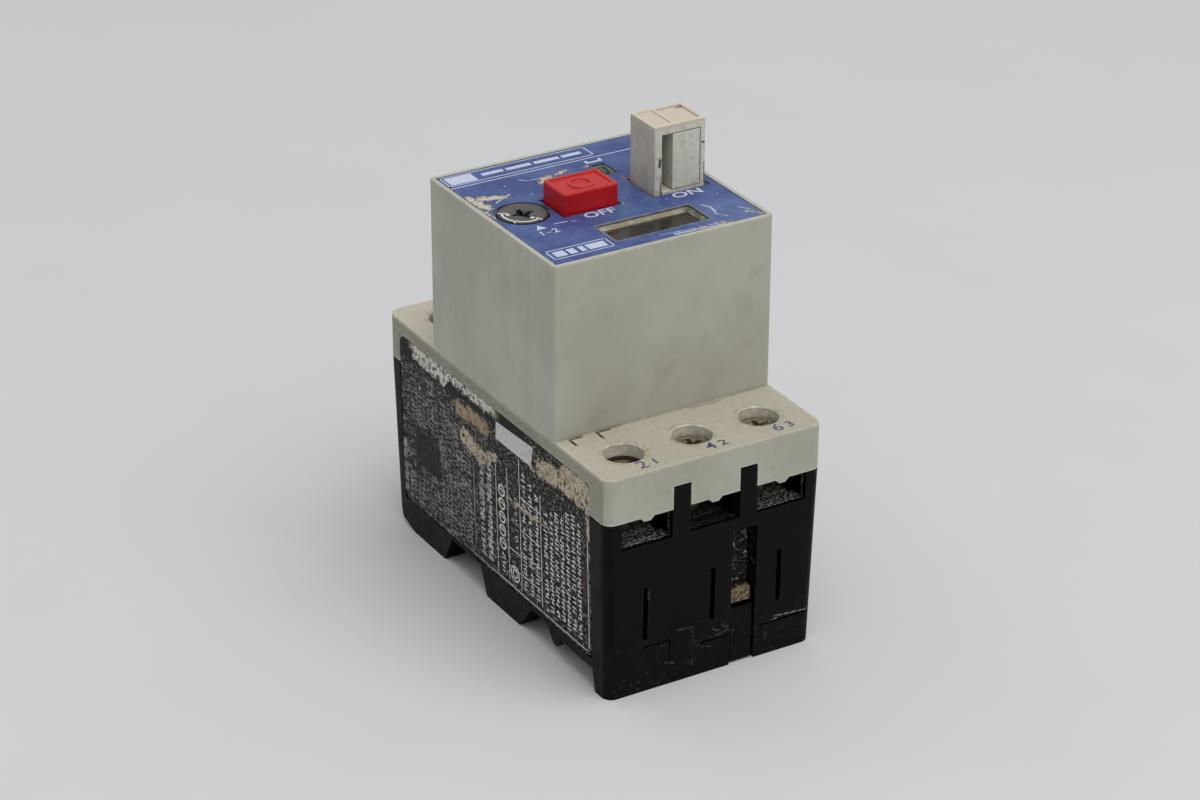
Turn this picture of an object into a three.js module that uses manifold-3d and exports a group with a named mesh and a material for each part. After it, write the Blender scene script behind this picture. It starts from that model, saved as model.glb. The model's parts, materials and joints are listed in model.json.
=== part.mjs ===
// Three-pole motor protection breaker, 45 mm wide, lying on its rail side with the front panel up.
// X runs across the poles, Y along them (line end +Y, load end -Y), Z out of the front panel.
// Every length is in millimetres.
import * as THREE from 'three';
import Module from 'manifold-3d';

const wasm = await Module();
wasm.setup();

// ---- Housing envelope -------------------------------------------------------------------------
const HALF_W = 22.25;
const HALF_L = 40;
const BLOCK_HALF_L = 22.5;
const PART_LINE_Z = 35.5;
const LEDGE_Z = 44.3;
const PANEL_Z = 77.8;
const WALL = 1.6;
const CORNER_R = 2;
const BLOCK_CORNER_R = 0.7;
const BASE_DRAFT = 0.75;
const BASE_TOP_Z = 35.2;
const FLOOR_Z = 7.5;
const GAP = 0.3;

// ---- Poles ------------------------------------------------------------------------------------
const POLE_PITCH = 13.9;
const POLES = [-POLE_PITCH, 0, POLE_PITCH];
const ENDS = [1, -1];
const PARTITION_X = 6.95;
const PARTITION_T = 1.3;
const PARTITION_TOP_Z = 42;
const CHAMBER_END_Y = 38.2;

// ---- Terminals --------------------------------------------------------------------------------
const SCREW_Y = 31.8;
const ACCESS_R = 3.65;
const ACCESS_CHAMFER = 0.25;
const ACCESS_TUBE_R = 4.6;
const ACCESS_TUBE_Z = 40.5;
const BAR_Z = 28.8;
const BAR_T = 1.2;
const BAR_HALF_W = 4.2;
const BAR_INNER_Y = 28.1;
const BAR_OUTER_Y = 35.5;
const SHELF_T = 1.2;
const ENTRY_HALF_W = 5.15;
const ENTRY_Z = 30;
const CLAMP_Z = 37.3;
const CLAMP_T = 1;
const HEAD_Z = 38.6;
const HEAD_H = 4;
const HEAD_R = 3.1;
const SHANK_R = 1.5;
const SHANK_END_Z = 26;
const FIRST_LOAD_SCREW_DOWN = 1.2;
const ROUND = 24;

// ---- Contacts and release parts ---------------------------------------------------------------
const STRIP_Z = 13.6;
const STRIP_T = 1.2;
const CONTACT_H = 0.7;
const BRIDGE_Z = 19.9;
const BRIDGE_T = 1.1;
const BRIDGE_Y = [-3, 15];
const CARRIER_Y = [3, 9];
const CROSSBAR_Z = [37, 42];
const COIL_Y = -11;
const BIMETAL_Y = -19.4;

// ---- Controls ---------------------------------------------------------------------------------
const START = { x: [8.5, 19], y: [-4.8, 3.5], foot: 56.6, top: 90.6 };
const START_POCKET = { x: [10, 18.1], z: [78, 89] };
const START_SPRING = [15.8, -0.6];
const STOP = { x: [-9.8, 1.4], y: [-4.5, 3.4], foot: 69.6, top: 81.8 };
const DIAL = { x: -15.5, y: 0.3, r: 4.65, hole: 4.9, top: 77.75 };
const TEST = { x: [5.3, 8.3], y: [7.8, 12.6] };
const WINDOW = { x: [-7.3, 11.7], y: [-18.2, -11.1], slope: 0.9 };
const LABEL_SEAT_Z = 77.35;
const SIDE_LABEL = { y: [-34, 35.6], z: [6.5, 41.2], depth: 0.25, skin: 0.2 };
const ROCKER_PIVOT = [13, 44];
const LATCH_PIVOT = [-8, 54];
const TRIP_PIVOT = [-15, 50];

// ---- Materials --------------------------------------------------------------------------------
const FINISHES = {
  grey_plastic: { color: 0xa9a697, roughness: 0.55, metalness: 0 },
  black_plastic: { color: 0x131313, roughness: 0.5, metalness: 0 },
  blue_print: { color: 0x5a72ad, roughness: 0.4, metalness: 0 },
  label_print: { color: 0x1b1b1b, roughness: 0.6, metalness: 0 },
  red_plastic: { color: 0xc21a1a, roughness: 0.35, metalness: 0 },
  dial_plastic: { color: 0x4c4a47, roughness: 0.45, metalness: 0 },
  lens: { color: 0x6f6f5c, roughness: 0.15, metalness: 0 },
  card: { color: 0x8c8672, roughness: 0.8, metalness: 0 },
  cream_plastic: { color: 0xc9bfa2, roughness: 0.5, metalness: 0 },
  brown_moulding: { color: 0x4a2c1b, roughness: 0.6, metalness: 0 },
  steel: { color: 0x9a9b9d, roughness: 0.35, metalness: 1 },
  rusty_steel: { color: 0x7a5a3a, roughness: 0.75, metalness: 0.6 },
  brass: { color: 0xb08d4a, roughness: 0.35, metalness: 1 },
  copper: { color: 0xb06a45, roughness: 0.4, metalness: 1 },
  green_plastic: { color: 0x5f7a5c, roughness: 0.5, metalness: 0 },
};

// ---- Solid helpers ----------------------------------------------------------------------------
function toSolid(geometry) {
  const source = geometry.index ? geometry.toNonIndexed() : geometry;
  const pos = source.getAttribute('position');
  const seen = new Map();
  const vertices = [];
  const corners = [];
  for (let i = 0; i < pos.count; i += 1) {
    const point = [pos.getX(i), pos.getY(i), pos.getZ(i)];
    const key = point.map((value) => Math.round(value * 1e4)).join(',');
    if (!seen.has(key)) {
      seen.set(key, vertices.length / 3);
      vertices.push(...point);
    }
    corners.push(seen.get(key));
  }
  const triangles = dropSlivers(corners);
  const outward = signedVolume(vertices, triangles) < 0 ? flip(triangles) : triangles;
  return new wasm.Manifold(new wasm.Mesh({
    numProp: 3,
    vertProperties: new Float32Array(vertices),
    triVerts: new Uint32Array(outward),
  }));
}

function dropSlivers(corners) {
  const kept = [];
  for (let i = 0; i < corners.length; i += 3) {
    const [a, b, c] = corners.slice(i, i + 3);
    if (a !== b && b !== c && c !== a) {
      kept.push(a, b, c);
    }
  }
  return kept;
}

function flip(triangles) {
  const turned = [];
  for (let i = 0; i < triangles.length; i += 3) {
    turned.push(triangles[i], triangles[i + 2], triangles[i + 1]);
  }
  return turned;
}

function signedVolume(vertices, triangles) {
  const at = (index) => new THREE.Vector3().fromArray(vertices, index * 3);
  let volume = 0;
  for (let i = 0; i < triangles.length; i += 3) {
    const cross = at(triangles[i + 1]).cross(at(triangles[i + 2]));
    volume += at(triangles[i]).dot(cross) / 6;
  }
  return volume;
}

function join(first, ...others) {
  return others.reduce((sum, other) => sum.add(other), first);
}

function cut(body, ...tools) {
  return tools.reduce((rest, tool) => rest.subtract(tool), body);
}

function boxGeometry(x, y, z) {
  const geometry = new THREE.BoxGeometry(x[1] - x[0], y[1] - y[0], z[1] - z[0]);
  return geometry.translate((x[0] + x[1]) / 2, (y[0] + y[1]) / 2, (z[0] + z[1]) / 2);
}

function box(x, y, z) {
  return toSolid(boxGeometry(x, y, z));
}

function centred(middle, half) {
  return [middle - half, middle + half];
}

function endSpan(end, inner, outer) {
  return end > 0 ? [inner, outer] : [-outer, -inner];
}

function post(x, y, radius, z, segments = 16) {
  const geometry = new THREE.CylinderGeometry(radius, radius, z[1] - z[0], segments);
  return toSolid(geometry.rotateX(Math.PI / 2).translate(x, y, (z[0] + z[1]) / 2));
}

function cone(x, y, lowRadius, topRadius, z, segments = ROUND) {
  const geometry = new THREE.CylinderGeometry(topRadius, lowRadius, z[1] - z[0], segments);
  return toSolid(geometry.rotateX(Math.PI / 2).translate(x, y, (z[0] + z[1]) / 2));
}

function shaft(x, y, z, radius, segments = 14) {
  const geometry = new THREE.CylinderGeometry(radius, radius, x[1] - x[0], segments);
  return toSolid(geometry.rotateZ(Math.PI / 2).translate((x[0] + x[1]) / 2, y, z));
}

function roundedRect(halfX, halfY, radius) {
  const shape = new THREE.Shape();
  shape.absarc(halfX - radius, halfY - radius, radius, 0, Math.PI / 2);
  shape.absarc(radius - halfX, halfY - radius, radius, Math.PI / 2, Math.PI);
  shape.absarc(radius - halfX, radius - halfY, radius, Math.PI, Math.PI * 1.5);
  shape.absarc(halfX - radius, radius - halfY, radius, Math.PI * 1.5, Math.PI * 2);
  return shape;
}

function polygon(points) {
  return new THREE.Shape(points.map(([a, b]) => new THREE.Vector2(a, b)));
}

function upright(shape, z, curveSegments = 4) {
  const settings = { depth: z[1] - z[0], bevelEnabled: false, curveSegments };
  return new THREE.ExtrudeGeometry(shape, settings).translate(0, 0, z[0]);
}

// A YZ outline drawn out along X.
function alongX(points, x) {
  const settings = { depth: x[1] - x[0], bevelEnabled: false };
  const geometry = new THREE.ExtrudeGeometry(polygon(points), settings);
  const axes = new THREE.Matrix4().makeBasis(
    new THREE.Vector3(0, 1, 0),
    new THREE.Vector3(0, 0, 1),
    new THREE.Vector3(1, 0, 0),
  );
  return toSolid(geometry.applyMatrix4(axes).translate(x[0], 0, 0));
}

// An XZ outline drawn out along Y.
function alongY(points, y) {
  const settings = { depth: y[1] - y[0], bevelEnabled: false };
  const geometry = new THREE.ExtrudeGeometry(polygon(points), settings);
  return toSolid(geometry.rotateX(Math.PI / 2).translate(0, y[1], 0));
}

// A bar of even thickness between two YZ points.
function arm(from, to, halfT, x) {
  const along = new THREE.Vector2(to[0] - from[0], to[1] - from[1]).normalize();
  const side = [-along.y * halfT, along.x * halfT];
  return alongX([
    [from[0] + side[0], from[1] + side[1]],
    [from[0] - side[0], from[1] - side[1]],
    [to[0] - side[0], to[1] - side[1]],
    [to[0] + side[0], to[1] + side[1]],
  ], x);
}

class Helix extends THREE.Curve {
  constructor(x, y, z, radius, turns) {
    super();
    Object.assign(this, { x, y, z, radius, turns });
  }

  getPoint(t, target = new THREE.Vector3()) {
    const angle = t * this.turns * Math.PI * 2;
    const height = this.z[0] + (this.z[1] - this.z[0]) * t;
    const reach = this.radius;
    return target.set(this.x + reach * Math.cos(angle), this.y + reach * Math.sin(angle), height);
  }
}

function coilSpring(x, y, z, radius, wire, turns) {
  const stepsPerTurn = 8;
  const sides = [0, 1, 2, 3].map((side) => (side / 4) * Math.PI * 2);
  const section = polygon(sides.map((angle) => [wire * Math.cos(angle), wire * Math.sin(angle)]));
  const inset = [z[0] + wire, z[1] - wire];
  const path = new Helix(x, y, inset, radius, turns);
  const settings = { steps: stepsPerTurn * turns, extrudePath: path, bevelEnabled: false };
  return toSolid(new THREE.ExtrudeGeometry(section, settings));
}

// ---- Base -------------------------------------------------------------------------------------
function draftAt(z) {
  return z < PART_LINE_Z ? (BASE_DRAFT * (PART_LINE_Z - z)) / PART_LINE_Z : 0;
}

function drafted(geometry) {
  const pos = geometry.getAttribute('position');
  for (let i = 0; i < pos.count; i += 1) {
    const inset = draftAt(pos.getZ(i));
    pos.setX(i, pos.getX(i) - Math.sign(pos.getX(i)) * inset);
    pos.setY(i, pos.getY(i) - Math.sign(pos.getY(i)) * inset);
  }
  return geometry;
}

function leaned(geometry) {
  const pos = geometry.getAttribute('position');
  for (let i = 0; i < pos.count; i += 1) {
    pos.setX(i, pos.getX(i) + draftAt(pos.getZ(i)));
  }
  return toSolid(geometry);
}

function chamberSpans() {
  const half = PARTITION_T / 2;
  const outer = HALF_W - 1.75;
  return [
    [-outer, -PARTITION_X - half],
    [-PARTITION_X + half, PARTITION_X - half],
    [PARTITION_X + half, outer],
  ];
}

function baseShell() {
  const outline = roundedRect(HALF_W, HALF_L, CORNER_R);
  const shell = toSolid(drafted(upright(outline, [0, BASE_TOP_Z])));
  const chambers = chamberSpans().map(
    (span) => box(span, [-CHAMBER_END_Y, CHAMBER_END_Y], [FLOOR_Z, PARTITION_TOP_Z]),
  );
  return cut(shell, ...chambers);
}

function basePartitions() {
  const parts = [];
  for (const side of ENDS) {
    const wallX = centred(side * PARTITION_X, PARTITION_T / 2);
    parts.push(box(wallX, [-38, 38], [FLOOR_Z - 0.5, PARTITION_TOP_Z]));
    const lipX = side > 0 ? [19.1, 20.3] : [-20.3, -19.1];
    parts.push(box(lipX, [-36.5, 36.5], [33.5, 40]));
    parts.push(box(side > 0 ? [19.1, 21.5] : [-21.5, -19.1], [-36.5, 36.5], [33.5, BASE_TOP_Z]));
    for (const end of ENDS) {
      const ribX = centred(side * 6.85, 1.6);
      parts.push(box(ribX, endSpan(end, 37.2, HALF_L), [34, 39.7]));
      parts.push(box(ribX, endSpan(end, 37.2, 39.5), [26, 35]));
    }
  }
  return parts;
}

// Room in both partitions for the crossbar of the contact carrier.
function carrierSlot() {
  return box([-12, 12], [CARRIER_Y[0] - 0.7, CARRIER_Y[1] + 0.7], [33.3, 43]);
}

function terminalShelves() {
  const parts = [];
  chamberSpans().forEach((span, index) => {
    for (const end of ENDS) {
      const reach = [span[0] - 0.3, span[1] + 0.3];
      const shelfZ = BAR_Z - GAP - SHELF_T;
      const shelf = box(reach, endSpan(end, 28, 38.6), [shelfZ, BAR_Z - GAP]);
      const sill = box(reach, endSpan(end, BAR_OUTER_Y + GAP, 38.6), [shelfZ, ENTRY_Z]);
      const bore = post(POLES[index], end * SCREW_Y, SHANK_R + 0.8, [20, 32], 12);
      parts.push(cut(join(shelf, sill), bore));
    }
  });
  return parts;
}

function entryAndVentCuts() {
  const cuts = [];
  for (const x of POLES) {
    for (const end of ENDS) {
      cuts.push(box(centred(x, ENTRY_HALF_W), endSpan(end, 36, 41), [ENTRY_Z, 41]));
      cuts.push(box(centred(x, 0.5), endSpan(end, 37.5, 41), [10.6, 21.3]));
    }
  }
  return cuts;
}

function railSideCuts() {
  const across = [-30, 30];
  const fixedGap = [[20.6, -1], [20.6, 0], [17.6, 5.7], [6.5, 5.7], [4.2, 0], [4.2, -1]];
  const latchGap = [
    [-7.9, -1], [-7.9, 0], [-12.6, 5.7], [-20.9, 5.7], [-21.3, 4.5],
    [-34.3, 4.5], [-35.1, 0], [-35.1, -1],
  ];
  const rearChamfer = [[41, -1], [41, 4.7], [38.9, 4.7], [37.1, 1.4], [32.5, 0], [32.5, -1]];
  return [fixedGap, latchGap, rearChamfer].map((outline) => alongX(outline, across));
}

function railSideParts() {
  const parts = [];
  for (const x of [-12, 12]) {
    parts.push(alongX([[18.6, 2.4], [16.6, 3.2], [16.6, 4.2], [18.9, 4.2]], centred(x, 4)));
  }
  parts.push(box([11.1, 12.3], [-34, -23.8], [0.9, 5]));
  parts.push(box([9.9, 12.3], [-34, -23.8], [0.9, 2]));
  parts.push(box([-4.6, -3.4], [-34, -23.8], [0.9, 5]));
  parts.push(box([-4.6, -2.2], [-34, -23.8], [0.9, 2]));
  return parts;
}

function channelCuts() {
  return [
    box([3.9, 9.1], [-41, -36.6], [-1, 27.6]),
    box([3.9, 9.1], [-41, -34.2], [-1, 4.6]),
    box([-2.4, 3.9], [-41, -39.05], [6.2, 6.7]),
    box([9.1, 23], [-41, -39.05], [6.2, 6.7]),
    box([-14.2, -8.7], [-41, -39.1], [8.8, 9.3]),
  ];
}

function baseHousing() {
  const thickEnd = box([2.7, 10.3], [-38.6, -35.2], [FLOOR_Z - 0.5, 28.3]);
  const raisedTab = box([-8.6, -4.1], [-39.6, -38.5], [4, 11.2]);
  const labelY = [SIDE_LABEL.y[0] - 0.2, SIDE_LABEL.y[1] + 0.2];
  const labelX = [-25, -HALF_W + SIDE_LABEL.depth];
  const labelSeat = leaned(boxGeometry(labelX, labelY, [SIDE_LABEL.z[0] - 0.2, PART_LINE_Z]));
  const filled = join(baseShell(), ...basePartitions(), ...terminalShelves(), thickEnd, raisedTab);
  const cuts = [...entryAndVentCuts(), ...railSideCuts(), ...channelCuts(), carrierSlot(), labelSeat];
  const open = cut(filled, ...cuts);
  return join(open, ...railSideParts());
}

// ---- Cover ------------------------------------------------------------------------------------
function coverShell() {
  const lower = toSolid(upright(roundedRect(HALF_W, HALF_L, CORNER_R), [PART_LINE_Z, LEDGE_Z]));
  const blockOutline = roundedRect(HALF_W, BLOCK_HALF_L, BLOCK_CORNER_R);
  const block = toSolid(upright(blockOutline, [LEDGE_Z - 3, PANEL_Z]));
  const insideX = centred(0, HALF_W - WALL);
  const lowerCavity = box(insideX, centred(0, HALF_L - WALL), [30, LEDGE_Z - WALL]);
  const blockCavity = box(insideX, centred(0, BLOCK_HALF_L - WALL), [40, PANEL_Z - 1.8]);
  return cut(join(lower, block), lowerCavity, blockCavity);
}

function accessTubes() {
  const parts = [];
  for (const x of POLES) {
    for (const end of ENDS) {
      parts.push(post(x, end * SCREW_Y, ACCESS_TUBE_R, [ACCESS_TUBE_Z, LEDGE_Z - 0.5], ROUND));
    }
  }
  return parts;
}

function accessHoles() {
  const cuts = [];
  for (const x of POLES) {
    for (const end of ENDS) {
      cuts.push(post(x, end * SCREW_Y, ACCESS_R, [ACCESS_TUBE_Z - 1, LEDGE_Z + 1], ROUND));
      const rim = [LEDGE_Z - ACCESS_CHAMFER, LEDGE_Z + ACCESS_CHAMFER];
      cuts.push(cone(x, end * SCREW_Y, ACCESS_R, ACCESS_R + 2 * ACCESS_CHAMFER, rim));
    }
  }
  return cuts;
}

function skirtTeeth() {
  const parts = [];
  for (const x of POLES) {
    const outline = [[x - 1.7, 35.8], [x - 0.7, 34.75], [x + 0.6, 34.75], [x + 1.7, 35.8]];
    for (const end of ENDS) {
      parts.push(alongY(outline, endSpan(end, HALF_L - WALL + 0.1, HALF_L)));
    }
  }
  return parts;
}

function skirtNotches() {
  const cuts = [];
  for (const side of ENDS) {
    for (const end of ENDS) {
      cuts.push(box(centred(side * 6.85, 1.8), endSpan(end, 37, 41), [34, 40]));
    }
  }
  return cuts;
}

function ledgeSlots() {
  const cuts = [];
  for (const x of [[-19.8, -17], [-14.3, -11.1]]) {
    cuts.push(box(x, [-23.15, -22.55], [41, 45]));
    cuts.push(box([x[0], x[0] + 0.55], [-25.2, -22.55], [41, 45]));
  }
  return cuts;
}

// Holes in the panel, as seen from the front; grow widens every hole by the same margin.
function panelOpenings(z, grow) {
  const wide = (span, margin) => [span[0] - margin - grow, span[1] + margin + grow];
  return [
    box(wide([START.x[0], START.x[1] + 0.5], 0.4), wide(START.y, 0.4), z),
    box(wide(STOP.x, 0.25), wide(STOP.y, 0.3), z),
    post(DIAL.x, DIAL.y, DIAL.hole + grow, z, 32),
    box(wide(TEST.x, 0), wide(TEST.y, 0), z),
  ];
}

function windowFunnel(topZ) {
  const { x, y, slope } = WINDOW;
  const reach = topZ - PANEL_Z;
  const floorZ = PANEL_Z - slope;
  const geometry = boxGeometry([x[0] - reach, x[1] + reach], [y[0] - reach, y[1] + reach], [floorZ, topZ]);
  const pos = geometry.getAttribute('position');
  const middle = [(x[0] + x[1]) / 2, (y[0] + y[1]) / 2];
  for (let i = 0; i < pos.count; i += 1) {
    if (pos.getZ(i) < PANEL_Z) {
      const inset = slope + reach;
      pos.setX(i, pos.getX(i) + Math.sign(middle[0] - pos.getX(i)) * inset);
      pos.setY(i, pos.getY(i) + Math.sign(middle[1] - pos.getY(i)) * inset);
    }
  }
  return toSolid(geometry);
}

function windowPane(margin, z) {
  const { x, y, slope } = WINDOW;
  const inset = slope - margin;
  return box([x[0] + inset, x[1] - inset], [y[0] + inset, y[1] - inset], z);
}

function frontCover() {
  const seatX = centred(0, HALF_W - 0.8);
  const plateSeat = box(seatX, centred(0, BLOCK_HALF_L - 0.8), [LABEL_SEAT_Z, 80]);
  const labelY = [SIDE_LABEL.y[0] - 0.2, SIDE_LABEL.y[1] + 0.2];
  const labelX = [-25, -HALF_W + SIDE_LABEL.depth];
  const labelSeat = box(labelX, labelY, [30, SIDE_LABEL.z[1] + 0.2]);
  const filled = join(coverShell(), ...accessTubes(), ...skirtTeeth());
  const window = [windowFunnel(PANEL_Z + 1), windowPane(0, [70, PANEL_Z])];
  const holes = [...accessHoles(), ...skirtNotches(), ...ledgeSlots(), ...panelOpenings([74, 80], 0)];
  return cut(filled, plateSeat, labelSeat, ...holes, ...window);
}

function faceplate() {
  const plateX = centred(0, HALF_W - 0.95);
  const plate = box(plateX, centred(0, BLOCK_HALF_L - 0.95), [LABEL_SEAT_Z + 0.05, PANEL_Z - 0.05]);
  const holes = [...panelOpenings([70, 80], 0.1), windowPane(WINDOW.slope + 0.05, [70, 80])];
  return cut(plate, ...holes);
}

function sideLabel() {
  const x = [-HALF_W, -HALF_W + SIDE_LABEL.skin];
  const lower = leaned(boxGeometry(x, SIDE_LABEL.y, [SIDE_LABEL.z[0], PART_LINE_Z]));
  const upper = box(x, SIDE_LABEL.y, [PART_LINE_Z, SIDE_LABEL.z[1]]);
  return join(lower, upper);
}

function markerCard() {
  return box([-7, 11.4], [-17.9, -11.4], [75, 75.5]);
}

// ---- Controls ---------------------------------------------------------------------------------
function startButton() {
  const body = box(START.x, START.y, [START.foot, START.top]);
  const pocketY = [START.y[0] - 1, START.y[1] - 0.9];
  const pocket = box(START_POCKET.x, pocketY, START_POCKET.z);
  const springWell = post(...START_SPRING, 2.5, [50, 76], 16);
  const thumbRest = box([13.1, 18.4], [-3.9, 2.9], [START.top - 0.35, START.top + 1]);
  const labelSeat = box([9.2, 12.5], [-3.9, 2.9], [START.top - 0.2, START.top + 1]);
  const cornerHole = box([17, 18.4], [2.1, 2.8], [START.top - 1.2, START.top + 1]);
  return cut(body, pocket, springWell, thumbRest, labelSeat, cornerHole);
}

function padlockSlide() {
  const block = box([12.3, 17.95], [-4.75, -0.7], [78.15, 88.8]);
  const tongue = box([12.6, 17.6], [-1, 2.3], [80, 87]);
  const shackle = shaft([11, 20], 0.35, 83.5, 1.6, 20);
  return cut(join(block, tongue), shackle);
}

function stopButton() {
  const { x, y, foot, top } = STOP;
  const rim = 0.9;
  const body = toSolid(chamferedBlock(x, y, [foot, top], 0.7, 0.45));
  const dish = box([x[0] + rim, x[1] - rim], [y[0] + rim, y[1] - rim], [top - 0.3, top + 1]);
  const hollow = box([x[0] + 1, x[1] - 1], [y[0] + 1, y[1] - 1], [foot - 1, top - 1.5]);
  const pusher = box([-5, -1], [-2.6, 1.9], [62.3, top - 1]);
  const ring = cut(post(-4.5, -1, 2.3, [top - 0.5, top], 24), post(-4.5, -1, 1.8, [70, 90], 24));
  return join(cut(body, hollow, dish), pusher, ring);
}

// A block with rounded upright corners and a chamfer round both ends.
function chamferedBlock(x, y, z, cornerRadius, chamfer) {
  const outline = roundedRect((x[1] - x[0]) / 2, (y[1] - y[0]) / 2, cornerRadius);
  const geometry = new THREE.ExtrudeGeometry(outline, {
    depth: z[1] - z[0] - 2 * chamfer,
    curveSegments: 4,
    bevelThickness: chamfer,
    bevelSize: chamfer,
    bevelOffset: -chamfer,
    bevelSegments: 2,
  });
  return geometry.translate((x[0] + x[1]) / 2, (y[0] + y[1]) / 2, z[0] + chamfer);
}

function settingDial() {
  const head = post(DIAL.x, DIAL.y, DIAL.r, [75, DIAL.top], 32);
  const stem = post(DIAL.x, DIAL.y, 2, [55.5, 75.5], 16);
  const slots = [
    box(centred(DIAL.x, 2), centred(DIAL.y, 0.45), [DIAL.top - 1, 80]),
    box(centred(DIAL.x, 0.45), centred(DIAL.y, 2), [DIAL.top - 1, 80]),
    cone(DIAL.x, DIAL.y, 0.3, 1.5, [DIAL.top - 1.1, DIAL.top + 0.1], 16),
  ];
  return cut(join(head, stem), ...slots);
}

function settingCam() {
  const disc = post(DIAL.x + 0.9, DIAL.y, 3.4, [56.5, 60.5], ROUND);
  return cut(disc, post(DIAL.x, DIAL.y, 2.3, [50, 70], 12));
}

function testLever() {
  const knob = box([5.8, 7.8], [10.1, 12.3], [67, 77.1]);
  const groove = box([6.5, 7.1], [9.5, 11.6], [76.2, 80]);
  const rod = box([3.6, 6.8], [-13.2, 12.3], [67, 69.2]);
  const leg = box([3.6, 5.8], [-13.2, -12], [57, 69]);
  return cut(join(knob, rod, leg), groove);
}

// ---- Mechanism --------------------------------------------------------------------------------
function mechanismPlate(side) {
  const outline = [[-18, 42.3], [16.5, 42.3], [16.5, 48], [9, 57], [6, 66], [-11, 66], [-18, 56]];
  const plateX = side > 0 ? [6.4, 7.4] : [-7.4, -6.4];
  const holes = [
    shaft([-10, 10], ...ROCKER_PIVOT, 1.5),
    shaft([-10, 10], ...LATCH_PIVOT, 1.3),
    shaft([-10, 10], ...TRIP_PIVOT, 1.7),
    alongX([[-6, 45], [4, 45], [4, 49], [-6, 49]], [-10, 10]),
  ];
  const seat = side > 0
    ? box([7, 18.4], [-3, 2], [42.6, 43.4])
    : box([-8.9, -7], [-2.4, 1.4], [65, 66]);
  return join(cut(alongX(outline, plateX), ...holes), seat);
}

function driveRocker() {
  const [y, z] = ROCKER_PIVOT;
  const axle = shaft([-8, 12], y, z, 1.2);
  const hubRight = shaft([9, 11.5], y, z, 2.3);
  const hubMiddle = shaft([-2, 2], y, z, 2.3);
  const upperArm = arm([y, z], [-1, 54.9], 1, [9, 11.5]);
  const lowerArm = arm([y, z], [5.4, 43.3], 0.9, [-2, 2]);
  return join(axle, hubRight, hubMiddle, upperArm, lowerArm);
}

function latchLever() {
  const [y, z] = LATCH_PIVOT;
  const axle = shaft([-7.9, 7.9], y, z, 1);
  const hub = shaft([-5.5, 1.5], y, z, 2);
  const upperArm = arm([y, z], [-1.2, 60.8], 0.9, [-4.8, -1.2]);
  const lowerArm = arm([y, z], [-9.3, 46.2], 0.7, [-4.8, -3]);
  return join(axle, hub, upperArm, lowerArm);
}

function tripBar() {
  const [y, z] = TRIP_PIVOT;
  const parts = [shaft([-19.5, 19.5], y, z, 1.4)];
  for (const x of POLES) {
    parts.push(box(centred(x, 1.6), [-20.2, -15], [49.2, 50.4]));
    parts.push(box(centred(x, 1.4), [-15, -9.9], [49.2, 50.4]));
  }
  parts.push(box([3.6, 5.8], [-15.4, -13.9], [50, 60]));
  return join(...parts);
}

function contactCarrier() {
  const crossbar = box([-18.7, 18.7], CARRIER_Y, CROSSBAR_Z);
  const legs = POLES.map((x) => {
    const leg = box(centred(x, 3.8), CARRIER_Y, [17, 37.5]);
    return cut(leg, box(centred(x, 2.5), [0, 12], [18.2, 30]));
  });
  return join(crossbar, ...legs);
}

// ---- Current path, one set per pole -----------------------------------------------------------
function movingContact(x) {
  const bridge = box(centred(x, 2), BRIDGE_Y, [BRIDGE_Z, BRIDGE_Z + BRIDGE_T]);
  const buttons = [13.5, -1.5].map((y) => post(x, y, 1.6, [BRIDGE_Z - 0.8, BRIDGE_Z + 0.2], 14));
  return join(bridge, ...buttons);
}

function contactSpring(x) {
  return coilSpring(x, 6, [BRIDGE_Z + BRIDGE_T + 0.2, 29.8], 1.7, 0.28, 4);
}

function lineTerminal(x) {
  const barZ = [BAR_Z, BAR_Z + BAR_T];
  const bar = box(centred(x, BAR_HALF_W), [BAR_INNER_Y - 1.6, BAR_OUTER_Y], barZ);
  const riser = box(centred(x, 2.8), [26.3, 27.6], [STRIP_Z, BAR_Z + BAR_T]);
  const strip = box(centred(x, 2.2), [11.5, 27.6], [STRIP_Z, STRIP_Z + STRIP_T]);
  const button = post(x, 13.5, 1.6, [STRIP_Z + 1, STRIP_Z + STRIP_T + CONTACT_H], 14);
  return cut(join(bar, riser, strip, button), post(x, SCREW_Y, SHANK_R + 0.3, [25, 35], 12));
}

function loadTerminal(x) {
  const barZ = [BAR_Z, BAR_Z + BAR_T];
  const bar = box(centred(x, BAR_HALF_W), [-BAR_OUTER_Y, -BAR_INNER_Y], barZ);
  const tail = box(centred(x, 2.4), [-BAR_INNER_Y - 0.5, -22.3], barZ);
  const solder = box(centred(x, 1.2), [-23.5, -22.3], [BAR_Z - 3, BAR_Z + 0.5]);
  return cut(join(bar, tail, solder), post(x, -SCREW_Y, SHANK_R + 0.3, [25, 35], 12));
}

function terminalScrew(x, end, down) {
  const y = end * SCREW_Y;
  const shank = post(x, y, SHANK_R, [SHANK_END_Z - down, HEAD_Z - down + 0.2], 12);
  const head = post(x, y, HEAD_R, [HEAD_Z - down, HEAD_Z - down + HEAD_H], ROUND);
  const slotZ = [HEAD_Z - down + HEAD_H - 1.3, HEAD_Z + 5];
  const slots = [
    box(centred(x, 2), centred(y, 0.5), slotZ),
    box(centred(x, 0.5), centred(y, 2), slotZ),
  ];
  return cut(join(shank, head), ...slots);
}

function clampPlate(x, end, down) {
  const z = [CLAMP_Z - down, CLAMP_Z - down + CLAMP_T];
  const plate = box(centred(x, BAR_HALF_W), endSpan(end, SCREW_Y - 3.5, SCREW_Y + 3.5), z);
  return cut(plate, post(x, end * SCREW_Y, SHANK_R + 0.3, [20, 50], 12));
}

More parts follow.
